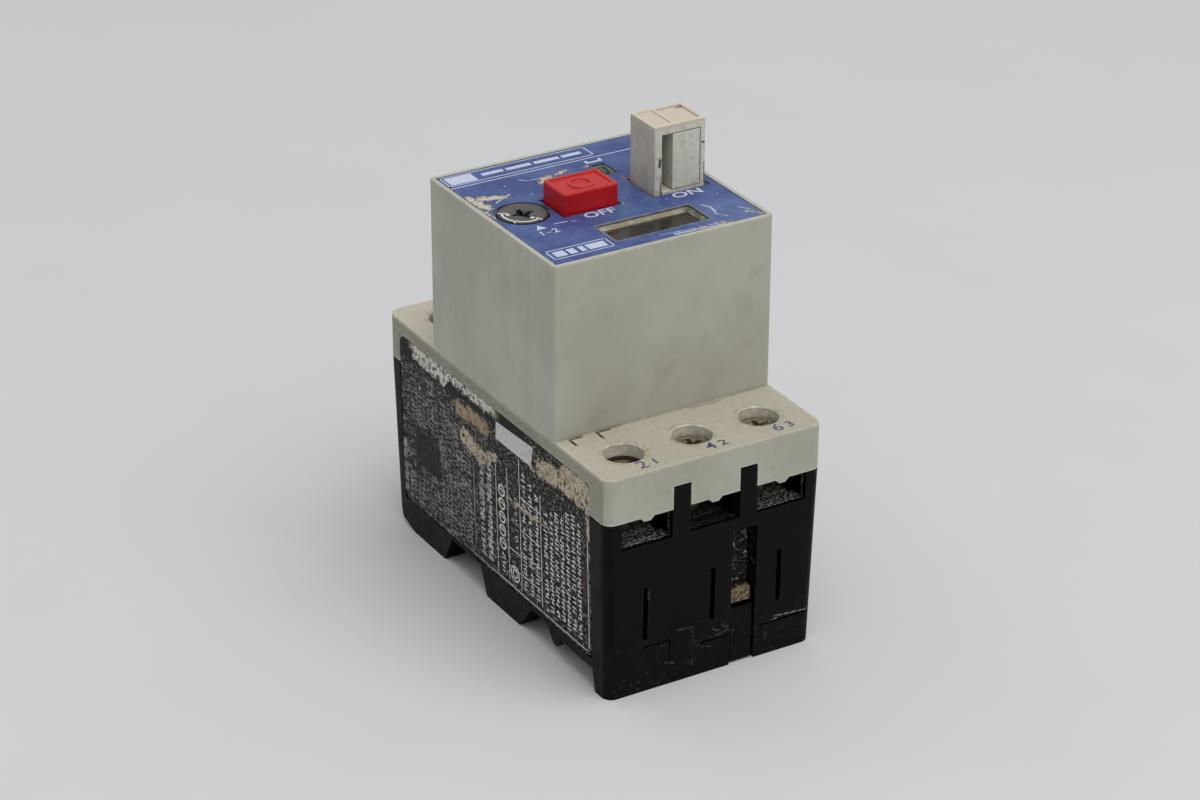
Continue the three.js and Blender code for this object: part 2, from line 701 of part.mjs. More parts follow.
function magnetCoil(x) {
  const bobbin = [[0, 9.5], [4.9, 9.5], [4.9, 11]];
  const turns = 5;
  const pitch = 3.6;
  for (let turn = 0; turn < turns; turn += 1) {
    const z = 11.4 + turn * pitch;
    bobbin.push([3.8, z], [4.7, z + pitch / 2]);
  }
  bobbin.push([3.8, 29.6], [4.9, 29.6], [4.9, 31], [2.5, 31], [2.5, 12], [0, 12]);
  const profile = bobbin.map(([r, z]) => new THREE.Vector2(r, z));
  const coil = new THREE.LatheGeometry(profile, 12).rotateX(Math.PI / 2);
  const body = toSolid(coil.translate(x, COIL_Y, 0));
  const strip = box(centred(x, 2.2), [COIL_Y + 3.5, 0.6], [STRIP_Z, STRIP_Z + STRIP_T]);
  const button = post(x, -1.5, 1.6, [STRIP_Z + 1, STRIP_Z + STRIP_T + CONTACT_H], 14);
  return join(body, strip, button);
}

function magnetPlunger(x) {
  const core = post(x, COIL_Y, 2.1, [12.3, 36], 12);
  const pin = post(x, COIL_Y, 0.9, [35.5, 44.8], 10);
  return join(core, pin);
}

function bimetal(x) {
  const strip = box(centred(x, 2), centred(BIMETAL_Y, 0.4), [9, 46]);
  const foot = box(centred(x, 3.2), centred(BIMETAL_Y, 1.8), [8, 11]);
  const rings = [];
  const pitch = 3.2;
  for (let turn = 0; turn < 7; turn += 1) {
    const z = 14 + turn * pitch;
    rings.push(box(centred(x, 3.2), centred(BIMETAL_Y, 1.5), [z, z + 1.5]));
  }
  return join(strip, foot, ...rings);
}

function arcChute(x) {
  const span = [17.6, 24.9];
  const parts = [
    box([x - 5.6, x - 5], span, [16.4, 29]),
    box([x + 5, x + 5.6], span, [16.4, 29]),
  ];
  const pitch = 2.2;
  for (let plate = 0; plate < 6; plate += 1) {
    const z = 17 + plate * pitch;
    parts.push(box([x - 5.3, x + 5.3], span, [z, z + 0.7]));
  }
  return join(...parts);
}

// ---- Rail latch -------------------------------------------------------------------------------
function railLatch() {
  const hook = [[-16.6, 4.2], [-16.6, 3.4], [-18.3, 1.2], [-19.6, 1], [-20.8, 2.4], [-20.8, 4.2]];
  const head = alongX(hook, [-20.4, 20.4]);
  const plate = box([-3, 10.7], [-31.5, -20.4], [2.3, 4.2]);
  const tongue = box([4.4, 8.5], [-38, -31], [2.3, 4.2]);
  const tab = box([4.3, 8.7], [-39, -37.4], [0.4, 11.3]);
  return join(head, plate, tongue, tab);
}

function railLatchSpring() {
  const leaf = [[-36.9, 27], [-37.4, 27], [-37.4, 15.2], [-38.7, 14.6], [-38.7, 12.2], [-36.9, 12.2]];
  return alongX(leaf, [4.5, 8.5]);
}

// ---- Assembly ---------------------------------------------------------------------------------
const breaker = new THREE.Group();
breaker.name = 'motor_protection_breaker';

function addPiece(name, solid, finish) {
  const source = solid.getMesh();
  const geometry = new THREE.BufferGeometry();
  const positions = new THREE.BufferAttribute(new Float32Array(source.vertProperties), 3);
  geometry.setAttribute('position', positions);
  geometry.setIndex(new THREE.BufferAttribute(new Uint32Array(source.triVerts), 1));
  const mesh = new THREE.Mesh(geometry, new THREE.MeshStandardMaterial(FINISHES[finish]));
  mesh.name = name;
  breaker.add(mesh);
}

function addHousing() {
  addPiece('base_housing', baseHousing(), 'black_plastic');
  addPiece('front_cover', frontCover(), 'grey_plastic');
  addPiece('faceplate', faceplate(), 'blue_print');
  addPiece('side_label', sideLabel(), 'label_print');
  addPiece('window_lens', windowPane(-0.15, [76.1, 76.8]), 'lens');
  addPiece('marker_card', markerCard(), 'card');
}

function addControls() {
  addPiece('start_button', startButton(), 'grey_plastic');
  addPiece('padlock_slide', padlockSlide(), 'grey_plastic');
  addPiece('start_spring', coilSpring(...START_SPRING, [43.6, 75.8], 1.7, 0.35, 9), 'steel');
  addPiece('stop_button', stopButton(), 'red_plastic');
  addPiece('stop_spring', coilSpring(-7.1, -0.5, [66.2, 80.1], 1.15, 0.25, 5), 'steel');
  addPiece('setting_dial', settingDial(), 'dial_plastic');
  addPiece('setting_cam', settingCam(), 'brass');
  addPiece('test_lever', testLever(), 'green_plastic');
}

function addMechanism() {
  addPiece('mechanism_plate_left', mechanismPlate(-1), 'steel');
  addPiece('mechanism_plate_right', mechanismPlate(1), 'steel');
  addPiece('drive_rocker', driveRocker(), 'cream_plastic');
  addPiece('latch_lever', latchLever(), 'steel');
  addPiece('trip_bar', tripBar(), 'cream_plastic');
  addPiece('contact_carrier', contactCarrier(), 'brown_moulding');
  addPiece('rail_latch', railLatch(), 'black_plastic');
  addPiece('rail_latch_spring', railLatchSpring(), 'rusty_steel');
}

function addPole(x, number) {
  addPiece(`moving_contact_${number}`, movingContact(x), 'copper');
  addPiece(`contact_spring_${number}`, contactSpring(x), 'steel');
  addPiece(`line_terminal_${number}`, lineTerminal(x), 'brass');
  addPiece(`load_terminal_${number}`, loadTerminal(x), 'brass');
  addPiece(`magnet_coil_${number}`, magnetCoil(x), 'copper');
  addPiece(`magnet_plunger_${number}`, magnetPlunger(x), 'steel');
  addPiece(`bimetal_${number}`, bimetal(x), 'steel');
  addPiece(`arc_chute_${number}`, arcChute(x), 'steel');
}

// Terminals carry odd numbers on the line side and even ones on the load side.
function addTerminalScrews(x, number) {
  for (const end of ENDS) {
    const terminal = end > 0 ? number * 2 - 1 : number * 2;
    const down = terminal === 2 ? FIRST_LOAD_SCREW_DOWN : 0;
    addPiece(`terminal_screw_${terminal}`, terminalScrew(x, end, down), 'steel');
    addPiece(`clamp_plate_${terminal}`, clampPlate(x, end, down), 'rusty_steel');
  }
}

addHousing();
addControls();
addMechanism();
POLES.forEach((x, index) => {
  addPole(x, index + 1);
  addTerminalScrews(x, index + 1);
});

export default breaker;
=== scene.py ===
"""Looks of the motor protection breaker: procedural materials on the CAD nodes, and the finer pieces
that stand for some of them (label film, button springs) or lie on them (print and sticker).

X runs across the poles, Y along them with the line end at +Y, Z out of the front panel.
Lengths are written in millimetres and turned into metres by MM.
"""
import json
import math
import random

import bpy
from mathutils import Matrix, Vector


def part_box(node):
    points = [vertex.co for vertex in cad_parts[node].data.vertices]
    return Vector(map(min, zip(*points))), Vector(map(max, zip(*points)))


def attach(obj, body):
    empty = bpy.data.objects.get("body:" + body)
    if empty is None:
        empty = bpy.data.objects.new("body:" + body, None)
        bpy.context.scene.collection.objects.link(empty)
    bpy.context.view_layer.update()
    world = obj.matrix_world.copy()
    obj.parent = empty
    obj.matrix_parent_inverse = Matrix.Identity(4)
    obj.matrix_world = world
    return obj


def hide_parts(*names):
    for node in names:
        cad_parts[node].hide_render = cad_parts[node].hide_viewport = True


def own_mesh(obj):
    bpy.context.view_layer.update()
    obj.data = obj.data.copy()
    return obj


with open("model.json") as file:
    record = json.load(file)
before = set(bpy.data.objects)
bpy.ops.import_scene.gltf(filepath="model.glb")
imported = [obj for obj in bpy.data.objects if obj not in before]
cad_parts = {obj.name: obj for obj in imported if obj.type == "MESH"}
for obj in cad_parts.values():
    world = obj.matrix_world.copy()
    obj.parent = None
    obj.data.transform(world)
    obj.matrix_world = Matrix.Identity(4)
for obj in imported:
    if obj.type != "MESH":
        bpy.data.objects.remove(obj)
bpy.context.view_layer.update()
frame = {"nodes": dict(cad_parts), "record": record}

MM = 0.001
HOUSING = "housing"
CLEAR = 0.015  # print stands this far off its surface
POLE_PITCH = 13.9
POLES = (-POLE_PITCH, 0.0, POLE_PITCH)
SCREW_Y = 31.8
LEDGE_TOP = 44.3
SIDE_X = -22.0  # from here outwards lies the left wall of the cover
OUTER_POLE_X = (6.0, 8.5)  # between these the middle pole gives way to the outer ones
DIAL_CENTRE = (-15.5, 0.3)


def box_mm(node):
    """Lowest and highest corner of a CAD node, in millimetres."""
    low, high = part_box(node)
    return low / MM, high / MM


# ---- Shader helper ----


def tone(red, green, blue):
    """A display colour of 0 to 255 as linear RGBA."""
    def linear(value):
        share = value / 255
        return share / 12.92 if share <= 0.04045 else ((share + 0.055) / 1.055) ** 2.4
    return (linear(red), linear(green), linear(blue), 1.0)


class Graph:
    """The node tree of one material, written as nested calls. Its lengths are millimetres."""

    def __init__(self, name):
        self.material = bpy.data.materials.new(name)
        self.material.use_nodes = True
        self.tree = self.material.node_tree
        self.shader = self.tree.nodes["Principled BSDF"]
        coordinates = self.tree.nodes.new("ShaderNodeTexCoord").outputs["Object"]
        self.place = self.vector("SCALE", coordinates, scale=1 / MM)
        split = self.wire("ShaderNodeSeparateXYZ", {0: self.place})
        self.x, self.y, self.z = split.outputs
        self.colour = None

    def wire(self, kind, inputs, **settings):
        node = self.tree.nodes.new(kind)
        for key, value in settings.items():
            setattr(node, key, value)
        for key, value in inputs.items():
            if isinstance(value, bpy.types.NodeSocket):
                self.tree.links.new(value, node.inputs[key])
            else:
                node.inputs[key].default_value = value
        return node

    def math(self, operation, a, b=0.0, clamp=False):
        node = self.wire("ShaderNodeMath", {0: a, 1: b}, operation=operation, use_clamp=clamp)
        return node.outputs[0]

    def add(self, a, b):
        return self.math("ADD", a, b)

    def sub(self, a, b):
        return self.math("SUBTRACT", a, b)

    def mul(self, *values):
        total = values[0]
        for value in values[1:]:
            total = self.math("MULTIPLY", total, value)
        return total

    def most(self, *values):
        top = values[0]
        for value in values[1:]:
            top = self.math("MAXIMUM", top, value)
        return top

    def least(self, a, b):
        return self.math("MINIMUM", a, b)

    def flip(self, value):
        return self.math("SUBTRACT", 1.0, value, clamp=True)

    def vector(self, operation, a, b=None, scale=None):
        inputs = {0: a}
        if b is not None:
            inputs[1] = b
        if scale is not None:
            inputs["Scale"] = scale
        node = self.wire("ShaderNodeVectorMath", inputs, operation=operation)
        return node.outputs["Value" if operation in ("DOT_PRODUCT", "LENGTH") else "Vector"]

    def rise(self, value, low, high):
        """Goes smoothly from 0 at low to 1 at high."""
        inputs = {"Value": value, "From Min": low, "From Max": high}
        return self.wire("ShaderNodeMapRange", inputs, interpolation_type="SMOOTHSTEP").outputs[0]

    def fall(self, value, low, high):
        return self.flip(self.rise(value, low, high))

    def between(self, value, low, high, soft=0.2):
        above = self.rise(value, low - soft, low + soft)
        return self.mul(above, self.fall(value, high - soft, high + soft))

    def stretched(self, along_x, along_y, along_z):
        return self.vector("MULTIPLY", self.place, (along_x, along_y, along_z))

    def noise(self, scale, detail=3.0, rough=0.55, at=None, warp=0.0):
        inputs = {"Vector": at or self.place, "Scale": scale, "Detail": detail}
        inputs.update({"Roughness": rough, "Distortion": warp})
        return self.wire("ShaderNodeTexNoise", inputs).outputs["Fac"]

    def patches(self, low, high, *noise):
        """Clouds of a noise: 0 where it is below low, 1 where it is above high."""
        return self.rise(self.noise(*noise), low, high)

    def cells(self, scale, at, output):
        return self.wire("ShaderNodeTexVoronoi", {"Vector": at, "Scale": scale}).outputs[output]

    def specks(self, scale, size, share):
        """Round dots of radius size in cells of 1 / scale, in that share of the cells."""
        pick = self.wire("ShaderNodeSeparateColor", {0: self.cells(scale, self.place, "Color")})
        reach = self.mul(pick.outputs[1], size * scale)
        dot = self.fall(self.cells(scale, self.place, "Distance"), 0.0, self.add(reach, 0.02))
        return self.mul(dot, self.fall(pick.outputs[0], share - 0.01, share + 0.01))

    def reach(self, start, end, flat):
        """Distance from the line between two points, with the axis left out of flat ignored."""
        start = Vector(start)
        along = Vector(end) - start
        level = self.vector("MULTIPLY", self.place, flat)
        away = self.vector("SUBTRACT", level, start)
        step = self.vector("DOT_PRODUCT", away, along)
        share = self.math("MULTIPLY", step, 1 / max(along.length_squared, 1e-6), clamp=True)
        foot = self.wire("ShaderNodeVectorMath", {0: along, "Scale": share}, operation="SCALE")
        return self.vector("LENGTH", self.vector("SUBTRACT", away, foot.outputs["Vector"]))

    def strokes(self, rows, flat, ragged, inner, outer):
        """Share covered by strokes, each a start, an end and a half width.

        ragged is added to the distance, and a stroke fades from inner to outer past its half width.
        """
        marks = []
        for start, end, width in rows:
            away = self.add(self.reach(start, end, flat), ragged)
            marks.append(self.fall(away, width + inner, width + outer))
        return self.most(*marks)

    def wobble(self, scale, reach, detail=4, rough=0.7):
        """A noise from about -reach / 2 to reach / 2."""
        return self.mul(self.sub(self.noise(scale, detail, rough), 0.5), reach)

    def mix(self, low, high, share):
        node = self.wire("ShaderNodeMix", {0: share, 6: low, 7: high}, data_type="RGBA")
        return node.outputs[2]

    def coat(self, colour, *shares):
        """Lays a colour over the material's colour so far, by the product of the shares."""
        self.colour = self.mix(self.colour, colour, self.mul(*shares))

    def blend(self, low, high, share):
        node = self.wire("ShaderNodeMix", {0: share, 2: low, 3: high})
        return node.outputs[0]

    def hollow(self, distance):
        """1 deep in a corner or gap, 0 in the open."""
        node = self.wire("ShaderNodeAmbientOcclusion", {"Distance": distance * MM}, samples=6)
        return self.flip(node.outputs["AO"])

    def edge(self, distance):
        """1 on a sharp outer edge, 0 on flat walls."""
        settings = {"samples": 4, "inside": True, "only_local": True}
        node = self.wire("ShaderNodeAmbientOcclusion", {"Distance": distance * MM}, **settings)
        return self.flip(node.outputs["AO"])

    def finish(self, rough, relief=None, specular=0.5, **constants):
        """Plugs the shader in. relief is a height in millimetres, constants are set on the shader."""
        self.shader.inputs["Specular IOR Level"].default_value = specular
        self.tree.links.new(self.colour, self.shader.inputs["Base Color"])
        self.tree.links.new(rough, self.shader.inputs["Roughness"])
        if relief is not None:
            bump = self.wire("ShaderNodeBump", {"Height": relief, "Distance": MM, "Strength": 1.0})
            self.tree.links.new(bump.outputs["Normal"], self.shader.inputs["Normal"])
        for name, value in constants.items():
            self.shader.inputs[name.replace("_", " ")].default_value = value
        return self.material


# ---- Plastics ----


def cover_plastic():
    g = Graph("cover_grey")
    away = from_screw_axis(g)
    clouds = g.noise(0.07, 4, 0.55)
    mottle = g.noise(0.5, 5, 0.6)
    g.colour = g.mix(tone(170, 169, 155), tone(178, 178, 166), g.rise(clouds, 0.35, 0.65))
    g.coat(tone(185, 182, 169), g.rise(mottle, 0.52, 0.8), 0.4)
    g.coat(tone(150, 145, 125), g.patches(0.56, 0.76, 0.16, 5, 0.65), 0.4)
    side = g.fall(g.x, SIDE_X - 0.2, SIDE_X)
    side_streaks = g.noise(1.0, 4, 0.6, g.stretched(0.1, 1.1, 0.03))
    g.coat(tone(160, 156, 142), g.rise(side_streaks, 0.46, 0.8), side, 0.4)
    # Painted shade: the left wall below the ledge is laid over with a darker grey.
    g.coat(tone(138, 132, 116), side, g.fall(g.z, 43.4, 44.0), 0.75)
    # Painted light: the top of the ledge is laid over with a warmer, pinkish tone.
    g.coat(tone(184, 174, 158), g.between(g.z, 44.1, 44.6, 0.1), 0.5)
    low = g.fall(g.z, 43.5, 47)
    smudge = g.mul(g.patches(0.58, 0.74, 0.8, 4, 0.7, g.stretched(1, 1, 0.5)), low)
    g.coat(tone(122, 117, 101), smudge, 0.55)
    crumbs = g.mul(g.specks(0.42, 0.28, 0.2), g.add(g.mul(low, 0.55), 0.25))
    g.coat(tone(88, 80, 64), crumbs)
    g.coat(tone(62, 54, 44), g.specks(0.16, 0.17, 0.45), 0.75)
    ledge = g.between(g.z, 43.9, 44.6, 0.1)
    blotches = g.mul(ledge, g.patches(0.5, 0.62, 0.9, 6, 0.8))
    g.coat(tone(152, 142, 120), blotches, 0.3)
    # Painted light: the far ledge, behind the block, is laid over with a paler cream.
    g.coat(tone(226, 216, 200), ledge, g.rise(g.y, 18, 24), 0.5)
    # Wear and painted highlight: paler cream on the outer edges, in patches.
    wear_and_sheen = g.mul(g.rise(g.edge(0.6), 0.12, 0.5), g.patches(0.3, 0.6, 0.7, 3))
    g.coat(tone(212, 207, 190), wear_and_sheen, 0.75)
    above_label = g.mul(side, g.between(g.z, 41.0, 43.2, 0.4), g.between(g.y, -16, 30, 3))
    soiled = g.mul(above_label, g.patches(0.46, 0.56, 1.3, 5, 0.8))
    g.coat(tone(104, 94, 74), soiled, 0.6)
    g.coat(tone(132, 118, 88), ledge_dirt(g, away), 0.75)
    rim = g.mul(g.between(away, 3.3, 4.0, 0.12), g.rise(g.z, 43.4, 43.8))
    chipped = g.mul(rim, g.patches(0.5, 0.58, 0.6, 5, 0.8))
    g.coat(tone(218, 214, 200), chipped, 0.6)
    # Dirt and painted shade: dark brown laid into the hollows and gaps, in patches, by how enclosed
    # they are.
    grime_and_shade = g.mul(g.rise(g.hollow(1.6), 0.32, 0.85), g.patches(0.3, 0.62, 1.4, 4, 0.7))
    g.coat(tone(60, 51, 38), grime_and_shade, 0.85)
    # Dirt and painted shade: brown on the sloping walls of the window recess, darker on the right wall.
    bevel_dirt_and_shade_tone = g.mix(tone(128, 118, 92), tone(70, 62, 48), g.rise(g.x, 9.6, 10.8))
    g.coat(bevel_dirt_and_shade_tone, window_bevel_dirt_and_shade(g), 0.85)
    # Painted light: the walls of the screw bores are laid over with a pale cream; patches of dirt go on
    # top.
    bores = g.mul(g.fall(away, 3.5, 3.9), g.fall(g.z, 43.6, 44.0))
    soiled_bores = g.mul(bores, g.patches(0.42, 0.6, 1.1, 5, 0.8, g.stretched(1, 1, 0.7)))
    g.coat(tone(240, 234, 216), bores, 0.75)
    g.coat(tone(124, 114, 94), soiled_bores, 0.45)
    # Painted shadow: near black low down in the bore of the first load pole.
    first_load_pole = g.mul(g.fall(g.x, -8, -7), g.fall(g.y, -1, 1))
    bore_foot_shadow = g.mul(g.fall(away, 3.8, 4.1), g.between(g.z, 39.0, 41.9, 0.15), first_load_pole)
    g.coat(tone(24, 21, 18), bore_foot_shadow, 0.92)
    grain = g.mul(g.noise(9.0, 2, 0.5), 0.012)
    waves = g.mul(g.noise(0.12, 2, 0.5), 0.06)
    rough = g.blend(0.42, 0.62, g.rise(mottle, 0.3, 0.7))
    return g.finish(rough, g.add(grain, waves), specular=0.35)


def from_screw_axis(g):
    """Distance from the axis of the nearest terminal screw."""
    away_x = g.math("PINGPONG", g.x, POLE_PITCH / 2)
    away_y = g.sub(g.math("ABSOLUTE", g.y), SCREW_Y)
    return g.math("SQRT", g.add(g.mul(away_x, away_x), g.mul(away_y, away_y)))


def window_bevel_dirt_and_shade(g):
    """Dirt and painted shade on the sloping walls round the marker window, the painted shade darkest on
    the right wall.
    """
    rim = g.mul(g.between(g.y, -18.6, -10.8, 0.1), g.between(g.x, -7.6, 12.0, 0.1))
    walls = g.mul(rim, g.between(g.z, 76.7, 77.66, 0.06))
    dirt = g.patches(0.36, 0.56, 0.9, 5, 0.75, g.stretched(0.5, 1, 1))
    return g.mul(walls, g.add(g.mul(dirt, 0.6), 0.4))


def ledge_dirt(g, away):
    """Dirt round the screw holes and in the moulded marks by the foot of the block."""
    on_ledge = g.between(g.z, 43.8, 44.6, 0.15)
    ring = g.between(g.add(away, g.mul(g.noise(1.2, 4, 0.7), 1.6)), 4.4, 5.3, 0.35)
    rings = g.mul(ring, g.patches(0.42, 0.6, 0.9, 4, 0.7), 0.6)
    marks = (
        ((-19.6, -22.8, 0), (-16.8, -22.8, 0), 0.5),
        ((-19.6, -22.8, 0), (-19.5, -25.4, 0), 0.5),
        ((-14.2, -22.8, 0), (-9.0, -22.7, 0), 0.5),
        ((-14.2, -22.8, 0), (-14.0, -25.4, 0), 0.5),
        ((5.0, -23.0, 0), (11.5, -23.2, 0), 0.5),
    )
    drawn = g.strokes(marks, (1, 1, 0), g.mul(g.noise(1.6, 4, 0.7), 0.9), 0.0, 0.45)
    return g.mul(on_ledge, g.most(rings, g.mul(drawn, 0.8)))


def start_plastic(name, grime_and_shade_share):
    """Light grey plastic of the START button and of its padlock slide."""
    g = Graph(name)
    mottle = g.noise(1.1, 5, 0.65)
    g.colour = g.mix(tone(214, 211, 200), tone(203, 200, 186), g.rise(mottle, 0.35, 0.7))
    stripes = g.noise(1.0, 3, 0.6, g.stretched(2.4, 2.4, 0.1))
    g.coat(tone(170, 167, 152), g.rise(stripes, 0.52, 0.78), 0.35)
    left_wall = g.fall(g.x, 8.55, 8.9)
    smear = g.patches(0.42, 0.64, 0.35, 4, 0.6, g.stretched(1, 1, 0.5))
    g.coat(tone(164, 156, 140), left_wall, g.add(g.mul(smear, 0.25), 0.3))
    front = g.fall(g.y, -4.6, -4.4)
    faded = g.patches(0.52, 0.66, 0.55, 5, 0.7)
    g.coat(tone(164, 161, 138), faded, front, 0.4)
    crumbs = g.patches(0.4, 0.5, 2.2, 4, 0.7, g.stretched(1, 1, 0.35))
    post = g.mul(g.between(g.x, 9.6, 10.1, 0.15), crumbs)
    g.coat(tone(84, 62, 42), post, g.fall(g.z, 78.5, 82.5), 0.9)
    nicks = (
        ((9.7, 0, 84.2), (9.6, 0, 83.2), 0.34),
        ((18.4, 0, 86.0), (18.9, 0, 85.9), 0.22),
        ((10.1, 0, 79.4), (10.0, 0, 78.2), 0.3),
        ((18.9, 0, 82.0), (18.95, 0, 78.0), 0.16),
    )
    cut = g.strokes(nicks, (1, 0, 1), g.wobble(2.4, 0.7), -0.08, 0.08)
    g.coat(tone(46, 38, 28), cut, g.fall(g.y, -3.4, -3.0), 0.9)
    g.coat(tone(70, 60, 46), g.specks(0.6, 0.3, 0.12), 0.7)
    sunk = g.rise(g.z, 89.9, 90.15)
    g.coat(tone(203, 189, 176), sunk, 0.9)
    rim = g.rise(g.z, 90.45, 90.55)
    g.coat(tone(204, 198, 174), rim, 0.85)
    # Wear and painted highlight: paler cream on the outer edges, in patches.
    wear_and_sheen = g.mul(g.rise(g.edge(0.45), 0.14, 0.5), g.patches(0.25, 0.6, 1.3, 3))
    g.coat(tone(212, 206, 184), wear_and_sheen, 0.8)
    # Dirt and painted shade: dark brown laid into the hollows and gaps, at the given share.
    grime_and_shade = g.mul(g.rise(g.hollow(1.0), 0.5, 0.95), g.patches(0.25, 0.6, 2.0, 4, 0.7))
    g.coat(tone(70, 60, 42), grime_and_shade, grime_and_shade_share)
    rough = g.blend(0.4, 0.65, g.rise(mottle, 0.3, 0.7))
    return g.finish(rough, g.mul(g.noise(8.0, 3, 0.6), 0.02), specular=0.35)


def outer_poles(g):
    """1 at the two outer poles, 0 at the middle one."""
    return g.rise(g.math("ABSOLUTE", g.x), *OUTER_POLE_X)


def entry_dust(g):
    """Pale grit that lies in the wire entries and in the channel of the load end."""
    cell = g.math("PINGPONG", g.add(g.x, POLE_PITCH / 2), POLE_PITCH / 2)
    along = g.math("ABSOLUTE", g.y)
    at_end = g.mul(g.rise(along, 35.8, 36.1), g.fall(along, 38.8, 39.0))
    in_mouth = g.mul(g.between(g.z, 29.7, 34.4, 0.15), at_end)
    # Painted shade: the grit on the side walls of the entries is laid at half strength, leaving them
    # darker.
    off_walls = g.add(g.mul(g.rise(cell, 1.9, 2.2), 0.5), 0.5)
    share = g.add(g.mul(outer_poles(g), 0.9), 0.1)
    mouth = g.mul(g.rise(cell, 1.5, 1.7), off_walls, in_mouth, share)
    channel = g.mul(g.between(g.x, 3.9, 9.1, 0.15), g.between(g.z, 14, 27.3, 0.5))
    channel = g.mul(channel, g.between(g.y, -39.0, -36.4, 0.1))
    fine = g.patches(0.57, 0.61, 2.4, 5, 0.9)
    grains = g.specks(1.5, 0.42, 0.55)
    heavy = g.most(g.patches(0.485, 0.53, 1.5, 5, 0.9), g.specks(1.3, 0.42, 0.55))
    return g.most(g.mul(mouth, heavy), g.mul(channel, g.most(fine, grains)))


def end_scratches(g):
    """Pale scratches and scuffs across the load end of the base."""
    near = g.fall(g.y, -39.0, -38.7)
    marks = (
        ((13.5, 0, 7.4), (20.5, 0, 6.9), 0.12),
        ((9.4, 0, 6.4), (14.0, 0, 6.9), 0.06),
        ((-7.3, 0, 10.7), (-4.1, 0, 10.4), 0.12),
        ((-4.0, 0, 10.2), (-4.0, 0, 5.2), 0.06),
        ((0.4, 0, 8.6), (2.2, 0, 7.5), 0.16),
        ((2.2, 0, 8.9), (3.4, 0, 8.2), 0.2),
        ((1.0, 0, 7.1), (3.6, 0, 7.6), 0.12),
        ((-2.2, 0, 5.7), (0.4, 0, 5.0), 0.08),
        ((-9.6, 0, 4.6), (-8.0, 0, 4.2), 0.14),
        ((-13.3, 0, 20.6), (-13.3, 0, 18.8), 0.1),
    )
    drawn = g.strokes(marks, (1, 0, 1), g.wobble(1.7, 0.5), -0.05, 0.08)
    return g.mul(drawn, g.patches(0.44, 0.56, 2.6, 4, 0.75), near)


def black_plastic():
    g = Graph("base_black")
    haze = g.patches(0.42, 0.75, 0.22, 5, 0.7)
    g.colour = g.mix(tone(4, 4, 4), tone(8, 8, 8), g.mul(haze, 0.8))
    streaks = g.patches(0.52, 0.8, 1.0, 3, 0.6, g.stretched(2.5, 2.5, 0.1))
    g.coat(tone(20, 20, 19), streaks, 0.4)
    scuffs = g.patches(0.68, 0.78, 0.5, 6, 0.8, g.stretched(0.4, 0.4, 3.0))
    g.coat(tone(66, 63, 58), scuffs, 0.3)
    low = g.fall(g.z, 7, 13)
    foot_marks = g.mul(g.patches(0.57, 0.68, 0.8, 6, 0.8), low)
    g.coat(tone(92, 88, 82), foot_marks, 0.5)
    g.coat(tone(140, 136, 128), g.specks(0.6, 0.14, 0.1), 0.55)
    # Wear and painted highlight: grey on the outer edges, in patches.
    wear_and_sheen = g.mul(g.rise(g.edge(0.4), 0.2, 0.6), g.patches(0.42, 0.66, 1.1, 4, 0.7))
    g.coat(tone(84, 81, 76), wear_and_sheen, 0.45)
    dust = entry_dust(g)
    dust_tone = g.mix(tone(132, 129, 122), tone(206, 203, 196), g.patches(0.42, 0.58, 2.2, 3))
    g.coat(dust_tone, dust, 0.92)
    scratch_tone = g.mix(tone(96, 93, 88), tone(168, 164, 158), g.rise(g.x, 8, 14))
    g.coat(scratch_tone, end_scratches(g), 0.75)
    crumbs = g.mul(g.rise(g.hollow(1.5), 0.55, 0.95), g.patches(0.54, 0.68, 1.7, 5, 0.75))
    g.coat(tone(74, 64, 50), crumbs, 0.35)
    rough = g.blend(g.blend(0.42, 0.62, haze), 0.9, dust)
    relief = g.add(g.mul(g.noise(7.0, 3, 0.55), 0.012), g.mul(dust, 0.12))
    return g.finish(rough, relief, specular=0.1)


def red_plastic():
    g = Graph("stop_red")
    mottle = g.noise(0.9, 5, 0.65)
    g.colour = g.mix(tone(192, 10, 16), tone(170, 10, 18), g.rise(mottle, 0.4, 0.7))
    # Painted highlight: pinkish red laid over the top face, stronger where the rubbed patches are.
    top = g.rise(g.z, 81.2, 81.5)
    rubbed = g.patches(0.35, 0.62, 1.6, 4, 0.7)
    g.coat(tone(194, 58, 54), top, g.add(g.mul(rubbed, 0.4), 0.25))
    bands = g.patches(0.5, 0.75, 1.0, 3, 0.6, g.stretched(0.3, 0.3, 1.7))
    g.coat(tone(142, 12, 18), bands, g.flip(top), 0.55)
    # Wear and painted highlight: pale pink on the outer edges, in patches.
    wear_and_sheen = g.mul(g.rise(g.edge(0.4), 0.15, 0.5), g.patches(0.3, 0.6, 1.2, 3))
    g.coat(tone(222, 84, 78), wear_and_sheen, 0.55)
    # Dirt and painted shade: dark red-brown laid into the hollows and gaps.
    grime_and_shade = g.mul(g.rise(g.hollow(0.9), 0.35, 0.9), g.patches(0.3, 0.6, 2.5, 4, 0.7))
    g.coat(tone(70, 14, 12), grime_and_shade, 0.8)
    rough = g.blend(0.3, 0.5, rubbed)
    return g.finish(rough, g.mul(g.noise(7.0, 3, 0.6), 0.012), specular=0.4)


